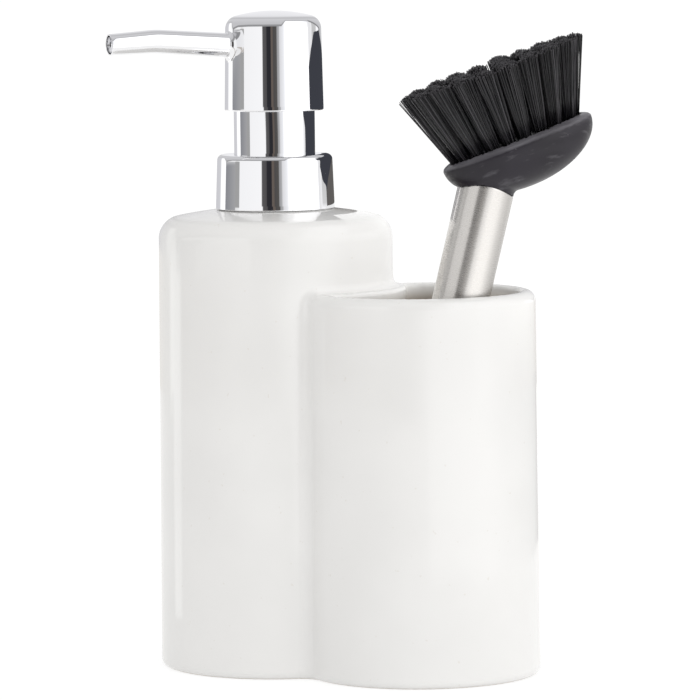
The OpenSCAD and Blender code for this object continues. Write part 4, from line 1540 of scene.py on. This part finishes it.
        foot = np.column_stack([root, np.full(len(root), self.pad_lip / 2 - self.root_depth)])
        head = np.column_stack([tip, height + self.pad_lip / 2])
        t = np.array([0.0, 0.35, 0.7, 0.985, 1.0])
        bend = rng.normal(0, self.bow, (len(root), 2))
        line = foot[:, None] + (head - foot)[:, None] * t[None, :, None]
        line[:, :, :2] += bend[:, None] * (t * (1 - t) * 2)[None, :, None]
        a = np.arange(4) * math.pi / 2
        turn = rng.uniform(0, math.pi, len(root))[:, None] + a
        radius = self.strand_r * rng.uniform(0.85, 1.1, len(root))
        ring = np.stack([np.cos(turn), np.sin(turn), 0 * turn], -1) * radius[:, None, None]
        points = line[:, :, None] + ring[:, None]
        rows, sides = len(t), 4
        base = (np.arange(len(root)) * rows * sides)[:, None, None, None]
        i = np.arange(rows - 1)[None, :, None, None] * sides
        j = np.arange(sides)[None, None, :, None]
        right = (j + 1) % sides
        quads = np.concatenate([i + j, i + right, i + sides + right, i + sides + j], -1) + base
        caps = np.arange(sides)[::-1][None] + base[:, 0, 0]
        tops = np.arange(sides)[None] + base[:, 0, 0] + (rows - 1) * sides
        tone = np.repeat(self.strand_pale * rng.uniform(0, 1, len(root)) ** 3, rows).reshape(-1, rows)
        tone[:, -1] = rng.uniform(0.2, 1.0, len(root)) ** 1.5
        shade = np.repeat(tone.reshape(-1), sides)
        faces = quads.reshape(-1, 4).tolist() + caps.tolist() + tops.tolist()
        return points.reshape(-1, 3), faces, shade

    def build(self) -> None:
        """Makes the tube with its UV map, the rubber head and the strands."""
        place, pad = self.place(), self.pad_place()
        tube = Piece("steel_handle", Body.BRUSH, Slot.BRUSHED, BRUSHED, ("handle_tube",)).build(self.tube(), place)
        self.unwrap(tube, place)
        corners = np.array([[x, y, z] for x in (-26, 26) for y in (-15, 15) for z in (-15, 5)], float)
        local = place.into(pad.out(corners))
        low = np.minimum(local.min(0), (-9.5, -9.5, self.spigot_foot() - 1))
        axes = [even_axis(a, b, self.net_step) for a, b in zip(low, local.max(0))]
        patch, normals = net_surface(self.head_field, axes)
        Piece("rubber_head", Body.BRUSH, Slot.RUBBER, RUBBER, ("brush_head",)).build(patch, place, normals=normals)
        points, faces, shade = self.strand_mesh()
        mesh = bpy.data.meshes.new("nylon_tufts")
        mesh.from_pydata((pad.out(points) * MM).tolist(), [], faces)
        mesh.update()
        mesh.polygons.foreach_set("use_smooth", np.ones(len(mesh.polygons), bool))
        mesh.attributes.new("shade", "FLOAT", "POINT").data.foreach_set("value", shade.astype(np.float32))
        mesh.set_sharp_from_angle(angle=math.radians(100))
        Piece("nylon_tufts", Body.BRUSH, Slot.BRISTLE, NYLON, ("bristles",)).dress(mesh)
        dress_node("handle_foot", RUBBER)
        dress_node("tuft_block", BLOCK_PLASTIC)

    def unwrap(self, tube: bpy.types.Object, place: Place) -> None:
        """UV map of the tube: u is the angle round it and v the height along it, as shares of the whole.

        Args:
            tube: the finished handle.
            place: the handle's frame.
        """
        mesh = tube.data
        co = np.zeros(len(mesh.vertices) * 3)
        mesh.vertices.foreach_get("co", co)
        q = place.into(co.reshape(-1, 3) / MM)
        loops = np.zeros(len(mesh.loops), np.int64)
        mesh.loops.foreach_get("vertex_index", loops)
        u = (np.arctan2(q[:, 1], q[:, 0]) / (2 * math.pi) + 0.5)[loops].reshape(-1, 4)
        wraps = u.max(1) - u.min(1) > 0.5
        u[wraps] = np.where(u[wraps] < 0.5, u[wraps] + 1, u[wraps])
        v = (q[:, 2] / self.handle_h)[loops]
        layer = mesh.uv_layers.new(name="tube")
        layer.data.foreach_set("uv", np.column_stack([u.reshape(-1), v]).reshape(-1))


# ---------------------------------------------------------------- the studio


def greys(*stops: tuple[float, float]) -> tuple:
    """Stops of white light, from pairs of turn and level."""
    return tuple((turn, level, level, level) for turn, level in stops)


@dataclass(frozen=True)
class Card:
    """Card curved round the pump's axis.

    Its turns are azimuths in degrees from the camera's side, positive to its right, its heights are in millimetres
    and its radius in metres. A stop of its light is (azimuth, red, green, blue).
    """

    name: str
    radius: float
    turns: tuple[float, float]
    heights: tuple[float, float]
    columns: int
    rows: int
    light: tuple

    def grid(self) -> tuple[np.ndarray, np.ndarray]:
        """Azimuth and height at each of its points."""
        return np.meshgrid(np.linspace(*self.turns, self.columns), np.linspace(*self.heights, self.rows))


@dataclass
class Surround:
    """Dome of soft boxes, flags and ceiling, with cards near the object, that only shiny surfaces see.

    A point of the dome is named by the mirror that shows it to the camera: the turn is twice that mirror's azimuth
    from the camera's side, positive to its right, and the tilt is the mirror's angle from lying flat. On an upright
    mirror the turn is the azimuth of the light itself. A stop is (turn, red, green, blue).
    """

    azimuth: float
    elevation: float
    radius: float = 0.95
    centre_z: float = 0.15
    ring: tuple = (
        # Grey wall behind on the left
        (-180, 0.60, 0.60, 0.63),
        (-136, 0.70, 0.70, 0.73),
        # Narrow soft box on the left
        (-131, 1.25, 1.25, 1.25),
        (-113.5, 1.25, 1.25, 1.25),
        # Grey flag beside it
        (-112.9, 0.28, 0.285, 0.31),
        (-100, 0.33, 0.335, 0.355),
        (-84, 0.41, 0.41, 0.42),
        # Broad soft box in front on the left
        (-83.4, 0.85, 0.85, 0.85),
        (-76, 0.95, 0.95, 0.95),
        (-74, 1.03, 1.03, 1.04),
        (-26, 1.07, 1.07, 1.08),
        # Black flag in front, with a warm strip in it
        (-24.5, 0.11, 0.108, 0.11),
        (-16, 0.09, 0.086, 0.09),
        (-15, 0.03, 0.03, 0.035),
        (-6, 0.027, 0.026, 0.032),
        (-5, 0.15, 0.125, 0.11),
        (-1, 0.14, 0.115, 0.10),
        (0, 0.085, 0.08, 0.08),
        (8, 0.10, 0.095, 0.09),
        # Grey edge of the flag
        (9, 0.36, 0.36, 0.37),
        (14, 0.5, 0.5, 0.51),
        # Bright soft box on the right
        (15, 0.8, 0.8, 0.82),
        (24, 0.98, 0.99, 1.02),
        (27, 1.2, 1.2, 1.22),
        (35, 1.9, 1.9, 1.92),
        (60, 1.9, 1.9, 1.92),
        (88, 1.2, 1.2, 1.22),
        # Pale wall behind on the right
        (94, 0.92, 0.92, 0.93),
        (101, 0.92, 0.92, 0.93),
        (106, 1.15, 1.15, 1.17),
        (150, 1.1, 1.1, 1.12),
        (165, 0.9, 0.9, 0.92),
        (180, 0.80, 0.80, 0.83),
    )
    # Plainer ring below the height of the pump, which the upright glaze sees
    low_z: float = 0.072
    low_ring: tuple = (
        (-180, 0.85, 0.83, 0.8),
        (-128, 0.95, 0.93, 0.9),
        (-123, 1.9, 1.9, 1.87),
        (-108, 1.9, 1.9, 1.87),
        (-104, 0.6, 0.56, 0.52),
        (-70, 0.6, 0.56, 0.52),
        (-40, 0.75, 0.71, 0.66),
        (-28, 0.4, 0.37, 0.34),
        (-6, 0.3, 0.28, 0.27),
        (4, 0.75, 0.74, 0.73),
        (14, 1.7, 1.7, 1.7),
        (62, 1.8, 1.8, 1.8),
        (84, 1.1, 1.1, 1.1),
        (110, 0.75, 0.73, 0.7),
        (180, 0.6, 0.58, 0.55),
    )
    # Ceiling: its light by tilt, the tilt at which it ends by turn, and the light of its border by turn
    ceiling: tuple = ((0, 0.93), (12, 0.9), (17, 0.84), (23, 0.76), (29, 0.62), (33, 0.58), (40, 0.7), (58, 0.62))
    ceiling_tone: tuple[float, float, float] = (1, 1, 1.025)
    border: tuple = (
        (-180, 52), (-122, 56), (-112, 84), (-92, 74), (-60, 72), (20, 72), (30, 51),
        (95, 52), (116, 63), (142, 80), (152, 88), (180, 60),
    )
    border_light: tuple = (
        (-180, 0.6), (-122, 0.6), (-110, 0.33), (20, 0.33), (32, 0.62), (92, 0.62), (100, 0.3), (150, 0.25), (165, 0.6),
    )
    # Dark spindle beside the pump, a painted reflection of the brush in the chrome: height, left turn and right turn of
    # its edge
    spindle_r: float = 0.07
    spindle_tone: tuple[float, float, float] = (0.052, 0.055, 0.068)
    spindle: tuple = (
        (152.4, 109, 111), (154, 107, 112.6), (156, 97, 118), (161, 90.5, 140), (165, 91.5, 165), (171, 90.5, 170),
        (175, 84, 172), (186, 79.5, 172), (192, 82, 172), (198, 91, 150), (204, 104, 128),
    )
    # Level card round the collar's foot: its turns, radii and height in metres, and light
    shelf_turns: tuple[float, float] = (45, 176)
    shelf_radii: tuple[float, float] = (0.069, 0.023)
    shelf_z: float = 0.1462
    shelf_light: float = 1.1

    @staticmethod
    def along(stops: tuple, a: np.ndarray) -> np.ndarray:
        """Colour of a ring of stops at turns."""
        table = np.array(stops, float)
        return np.stack([np.interp(a, table[:, 0], table[:, k]) for k in (1, 2, 3)], -1)

    @staticmethod
    def level(stops: tuple, a: np.ndarray) -> np.ndarray:
        """Value of single-valued stops."""
        table = np.array(stops, float)
        return np.interp(a, table[:, 0], table[:, 1])

    @staticmethod
    def step(value: np.ndarray, low: float | np.ndarray, high: float | np.ndarray) -> np.ndarray:
        """Share that rises from 0 at low to 1 at high, without a corner.

        Args:
            value: where it is read.
            low: where it starts.
            high: where it ends.

        Returns:
            The share at each value.
        """
        t = np.clip((value - low) / (high - low), 0, 1)
        return t * t * (3 - 2 * t)

    def window(self, value: np.ndarray, rise: tuple[float, float], fall: tuple[float, float]) -> np.ndarray:
        """Share that rises over one range and falls again over another."""
        return self.step(value, *rise) - self.step(value, *fall)

    def mirror(self, way: np.ndarray) -> tuple[np.ndarray, np.ndarray]:
        """Turn and tilt of the mirrors that show light from these directions to the camera.

        The mirror's normal halves the angle between the light and the camera: (way + view) / |way + view|.

        Args:
            way: directions by 3, of length 1.

        Returns:
            Turn and tilt in degrees.
        """
        a, e = math.radians(self.azimuth), math.radians(self.elevation)
        view = np.array([math.sin(a) * math.cos(e), -math.cos(a) * math.cos(e), math.sin(e)])
        half = way + view
        half = half / np.maximum(np.linalg.norm(half, axis=-1, keepdims=True), 1e-6)
        azimuth = np.degrees(np.arctan2(half[..., 0], -half[..., 1])) - self.azimuth
        turn = 2 * ((azimuth + 180) % 360 - 180)
        return np.clip(turn, -180, 180), np.degrees(np.arccos(np.clip(half[..., 2], -1, 1)))

    def colour(self, turn: np.ndarray, tilt: np.ndarray, z: np.ndarray) -> np.ndarray:
        """Light of the dome: the ring, the ceiling with its dark border, and the plainer ring that the glaze sees.

        Low on the dome the flag in front stands 1.8 degrees further right, and each of three cards over the ring has
        a level and the share by which it covers the ring.

        Args:
            turn: turn of each point.
            tilt: tilt of each point.
            z: height of each point in metres.

        Returns:
            The light by 3, in linear colour.
        """
        step, window = self.step, self.window
        shift = window(turn, (-40, -30), (20, 30)) * 1.8 * (1 - step(z, 0.134, 0.138))
        light = self.along(self.ring, turn - shift)
        for level, share in (
            (1.03, window(turn, (-125, -115), (-84, -80)) * (1 - step(tilt, 80, 85))),
            (0.4, window(turn, (-85, -84), (-74, -73)) * step(z, 0.1, 0.108) * step(tilt, 78, 83)),
            (0.64, window(turn, (103, 107), (122, 127)) * (1 - step(tilt, 85, 90))),
        ):
            light = light + (level - light) * share[..., None]
        edge = self.level(self.border, turn)
        top = self.level(self.ceiling, tilt)
        top = top + (self.level(self.border_light, turn) - top) * step(tilt, edge - 10, edge - 6)
        top = top[..., None] * np.array(self.ceiling_tone)
        light = light + (top - light) * (1 - step(tilt, edge - 0.7, edge + 0.7))[..., None]
        low = 1 - step(z, self.low_z - 0.002, self.low_z)
        return light + (self.along(self.low_ring, turn) - light) * low[..., None]

    def build(self) -> None:
        """Makes the dome, with its light as a colour of each point."""
        foot = math.degrees(math.asin(-self.centre_z / self.radius)) + 0.02
        rows = [np.arange(foot, -4, 0.12), np.arange(-4, 14, 0.9), np.arange(14, 90.5, 1.2)]
        lift = np.radians(np.concatenate(rows))[:, None]
        around = np.radians(np.linspace(-180, 180, 961))[None, :] + math.radians(self.azimuth)
        flat = np.cos(lift)
        way = np.stack([flat * np.sin(around), -flat * np.cos(around), np.sin(lift) + 0 * around], -1)
        points = way * self.radius + (0, 0, self.centre_z)
        turn, tilt = self.mirror(way)
        self.shine("surround", grid_patch(points), self.colour(turn, tilt, points[..., 2]))

    def upright(self, name: str, radius: float, a: np.ndarray, z: np.ndarray, light: np.ndarray) -> None:
        """Makes a curved card round the pump's axis from grids of azimuths, heights in millimetres and light.

        Args:
            name: the card's name.
            radius: distance from the pump's axis in metres.
            a: azimuths in degrees from the camera's side.
            z: heights in millimetres.
            light: light of each point, by 3.
        """
        turn = np.radians(self.azimuth + a)
        grid = np.stack([radius * np.sin(turn), -radius * np.cos(turn), z * MM + 0 * turn], -1)
        self.shine(name, grid_patch(grid), light)

    def cards(self) -> None:
        """Cards near the object.

        White ones stand on the brush's side, at the bottle's shoulder and behind the collar, and further out low on the
        right and in a narrow streak on the left. The one on the brush's side paints the ring's light over the brush's
        own reflection in the chrome. A warm dark stripe stands behind the collar.
        """
        flank = greys((14, 1.2), (30, 2.2), (60, 1.9), (80, 1.15), (110, 0.9))
        low_right = greys((14, 1.7), (62, 1.8), (84, 1.1), (104, 0.8), (150, 0.5))
        streak = greys((-111, 0.8), (-108, 1.9), (-98, 1.9), (-95, 0.8))
        for card in (
            # Paints the ring's light over the brush's reflection in the chrome.
            Card("side_card", 0.0485, (26, 79), (124, 215), 24, 6, self.ring),
            Card("floor_card", 0.34, (14, 150), (0.5, 66), 60, 4, low_right),
            Card("streak_card", 0.15, (-111, -95), (0.5, 79), 9, 4, streak),
            Card("flank_card", 0.0445, (14, 140), (121.5, 145.5), 40, 4, flank),
            Card("back_card", 0.075, (104, 179), (124, 145.3), 30, 4, greys((0, 0.93))),
            Card("warm_stripe", 0.0705, (108, 168), (145.5, 166), 12, 4, ((0, 0.13, 0.122, 0.118),)),
        ):
            a, z = card.grid()
            self.upright(card.name, card.radius, a, z, self.along(card.light, a))
        self.shelf_card()
        self.painted_brush_reflection()

    def shelf_card(self) -> None:
        """White card that lies level round the collar's foot, with its light on the under side."""
        turns = np.radians(self.azimuth + np.linspace(*self.shelf_turns, 40))
        a, r = np.meshgrid(turns, np.linspace(*self.shelf_radii, 6))
        grid = np.stack([r * np.sin(a), -r * np.cos(a), self.shelf_z + 0 * r], -1)
        self.shine("shelf_card", grid_patch(grid), np.full(a.shape + (3,), self.shelf_light))

    def painted_brush_reflection(self) -> None:
        """Dark card behind the pump whose left and right edges follow a table of heights; in the chrome it paints the
        brush's reflection.
        """
        table = np.array(self.spindle, float)
        z = np.linspace(table[0, 0], table[-1, 0], 80)[:, None]
        left, right = np.interp(z, table[:, 0], table[:, 1]), np.interp(z, table[:, 0], table[:, 2])
        a = left + (right - left) * np.linspace(0, 1, 12)[None, :]
        self.upright("painted_brush_reflection", self.spindle_r, a, z + 0 * a, np.ones(a.shape + (1,)) * self.spindle_tone)

    def shine(self, name: str, patch: Patch, light: np.ndarray) -> None:
        """Links a surface that gives off the light of its points and that only shiny surfaces see.

        Args:
            name: the surface's name.
            patch: the surface, in metres.
            light: light of each point, by 3.
        """
        graph = Graph(name)
        source = graph.node("ShaderNodeAttribute")
        source.attribute_name = "light"
        glow = graph.node("ShaderNodeEmission", Color=source.outputs["Color"], Strength=1.0)
        clear = graph.node("ShaderNodeBsdfTransparent")
        back = graph.node("ShaderNodeNewGeometry").outputs["Backfacing"]
        mix = graph.node("ShaderNodeMixShader", Fac=back)
        graph.put(mix, 1, clear.outputs[0])
        graph.put(mix, 2, glow.outputs[0])
        graph.finish(mix)
        graph.material.cycles.emission_sampling = "NONE"
        mesh = bpy.data.meshes.new(name)
        mesh.from_pydata(patch.points.tolist(), [], patch.quads.tolist())
        colours = np.concatenate([light.reshape(-1, 3), np.ones((light.size // 3, 1))], 1)
        mesh.attributes.new("light", "FLOAT_COLOR", "POINT").data.foreach_set("color", colours.reshape(-1))
        mesh.materials.append(graph.material)
        thing = bpy.data.objects.new(name, mesh)
        bpy.context.scene.collection.objects.link(thing)
        thing.visible_camera = thing.visible_diffuse = thing.visible_shadow = False
        thing.visible_transmission = thing.visible_volume_scatter = False


@dataclass
class Studio:
    """Camera, sky, lamps and floor, and the dome and cards that shiny surfaces see."""

    azimuth: float = 28.05
    elevation: float = 5.25
    roll: float = 0.637
    distance: float = 1.6
    focal: float = 4998.0
    frame_px: float = 700.0
    centre_px: tuple[float, float] = (348.4, 357.6)
    target: tuple[float, float, float] = (0.026, 0.0, 0.1)
    sensor: float = 36.0
    sky: float = 0.855
    key: float = 0.5
    key_turn: float = 38.0
    side: float = 0.33
    side_turn: float = 82.0
    lamp_rise: float = 20.0
    lamp_spread: float = 60.0
    # The spot's place and the mark it shines on: degrees from the camera's side, radius and height in metres
    flank: float = 0.95
    flank_from: tuple[float, float, float] = (80.0, 0.25, 0.15)
    flank_on: tuple[float, float, float] = (60.0, 0.036, 0.138)
    flank_cone: float = 17.0
    flank_size: float = 0.03
    floor_colour: tuple = rgb(0.8, 0.8, 0.8)
    floor_light: float = 0.15
    seen_floor_colour: tuple = rgb(0.3, 0.3, 0.3)
    seen_floor_light: float = 0.76
    floor_radii: tuple[float, ...] = (0.0, 0.5, 2.0, 20.0)
    floor_drop: float = 0.02

    def build(self) -> None:
        """Sets up the camera, the light and everything that shiny surfaces see."""
        self.camera()
        self.world()
        self.lamps()
        self.floor()
        surround = Surround(self.azimuth, self.elevation)
        surround.build()
        surround.cards()

    def axes(self) -> tuple[np.ndarray, np.ndarray, np.ndarray]:
        """The camera's right, up and back directions before its roll.

        Returns:
            The three directions, each of length 1.
        """
        a, e = math.radians(self.azimuth), math.radians(self.elevation)
        back = np.array([math.sin(a) * math.cos(e), -math.cos(a) * math.cos(e), math.sin(e)])
        right = np.array([math.cos(a), math.sin(a), 0.0])
        return right, np.cross(back, right), back

    def camera(self) -> None:
        """Camera at the photograph's place, with its small roll and shift."""
        right, up, back = self.axes()
        r = math.radians(self.roll)
        x = right * math.cos(r) - up * math.sin(r)
        y = right * math.sin(r) + up * math.cos(r)
        spot = np.array(self.target) + back * self.distance
        data = bpy.data.cameras.new("camera")
        data.sensor_width = self.sensor
        data.lens = self.focal / self.frame_px * self.sensor
        data.shift_x = 0.5 - self.centre_px[0] / self.frame_px
        data.shift_y = self.centre_px[1] / self.frame_px - 0.5
        data.clip_end = 50
        camera = bpy.data.objects.new("camera", data)
        matrix = Matrix.Identity(4)
        for k, column in enumerate((x, y, back, spot)):
            matrix.col[k][:3] = column
        camera.matrix_world = matrix
        bpy.context.scene.collection.objects.link(camera)
        bpy.context.scene.camera = camera

    def world(self) -> None:
        """Soft light from all round. The camera and shiny surfaces see it as plain white."""
        world = bpy.data.worlds.new("studio")
        bpy.context.scene.world = world
        world.use_nodes = True
        nodes, links = world.node_tree.nodes, world.node_tree.links
        nodes.clear()
        output = nodes.new("ShaderNodeOutputWorld")
        path = nodes.new("ShaderNodeLightPath")
        soft, white = nodes.new("ShaderNodeBackground"), nodes.new("ShaderNodeBackground")
        soft.inputs[0].default_value = rgb(1.0, 0.995, 0.985)
        soft.inputs[1].default_value = self.sky
        white.inputs[0].default_value = rgb(1, 1, 1)
        seen = path.outputs["Is Camera Ray"]
        for ray in ("Is Glossy Ray", "Is Transmission Ray"):
            either = nodes.new("ShaderNodeMath")
            either.operation = "MAXIMUM"
            links.new(seen, either.inputs[0])
            links.new(path.outputs[ray], either.inputs[1])
            seen = either.outputs[0]
        mix = nodes.new("ShaderNodeMixShader")
        links.new(seen, mix.inputs[0])
        links.new(soft.outputs[0], mix.inputs[1])
        links.new(white.outputs[0], mix.inputs[2])
        links.new(mix.outputs[0], output.inputs[0])

    def lamps(self) -> None:
        """Two broad lamps from the camera's right, and a small spot on the bottle's flank beside the brush."""
        rise = math.radians(self.lamp_rise)
        for name, energy, turn in (("key", self.key, self.key_turn), ("side", self.side, self.side_turn)):
            way = self.spot(turn, math.cos(rise), math.sin(rise))
            data = bpy.data.lights.new(name, "SUN")
            data.energy, data.angle = energy, math.radians(self.lamp_spread)
            self.lamp(data, way, way)
        spot, mark = self.spot(*self.flank_from), self.spot(*self.flank_on)
        data = bpy.data.lights.new("flank", "SPOT")
        data.energy, data.shadow_soft_size = self.flank, self.flank_size
        data.spot_size, data.spot_blend = math.radians(self.flank_cone), 1.0
        self.lamp(data, spot, spot - mark)

    def spot(self, turn: float, radius: float, height: float) -> Vector:
        """Point at a turn from the camera's side, a distance from the pump's axis and a height."""
        a = math.radians(self.azimuth + turn)
        return Vector((radius * math.sin(a), -radius * math.cos(a), height))

    @staticmethod
    def lamp(data: bpy.types.Light, spot: Vector, way: Vector) -> None:
        """Links a shadowless lamp at a spot that shines against a direction and that no shiny surface sees.

        Args:
            data: the lamp's settings.
            spot: where it stands.
            way: where its light comes from.
        """
        data.use_shadow = False
        lamp = bpy.data.objects.new(data.name, data)
        lamp.location = spot
        lamp.rotation_euler = way.to_track_quat("Z", "Y").to_euler()
        lamp.visible_glossy = False
        bpy.context.scene.collection.objects.link(lamp)

    def floor(self) -> None:
        """Pale floor, lifted to white for the camera and shiny surfaces, which keeps the object's shadow."""
        graph = Graph("pale_floor")
        path = graph.node("ShaderNodeLightPath")
        seen = graph.math("MAXIMUM", path.outputs["Is Camera Ray"], path.outputs["Is Glossy Ray"])
        seen = graph.math("MAXIMUM", seen, path.outputs["Is Transmission Ray"])
        sums = []
        for colour, light in (
            (self.floor_colour, self.floor_light),
            (self.seen_floor_colour, self.seen_floor_light),
        ):
            both = graph.node("ShaderNodeAddShader")
            graph.put(both, 0, graph.node("ShaderNodeBsdfDiffuse", Color=colour).outputs[0])
            graph.put(both, 1, graph.node("ShaderNodeEmission", Color=rgb(1, 1, 1), Strength=light).outputs[0])
            sums.append(both.outputs[0])
        mix = graph.node("ShaderNodeMixShader", Fac=seen)
        graph.put(mix, 1, sums[0])
        graph.put(mix, 2, sums[1])
        graph.finish(mix)
        a = np.linspace(0, 2 * math.pi, 65)
        r = np.array(self.floor_radii)[:, None] / MM
        points, faces = welded(grid_patch(np.stack([r * np.cos(a), r * np.sin(a), 0 * r * a - self.floor_drop], -1)))
        mesh = bpy.data.meshes.new("floor")
        mesh.from_pydata((points * MM).tolist(), [], faces)
        mesh.materials.append(graph.material)
        floor = bpy.data.objects.new("floor", mesh)
        bpy.context.scene.collection.objects.link(floor)


def main() -> None:
    """Builds every sub-assembly, then the studio."""
    bpy.context.scene.view_settings.view_transform = "Standard"
    Caddy().build()
    Closure().build()
    Head().build()
    Mechanism().build()
    Brush().build()
    Studio().build()


if __name__ == "__main__":
    main()
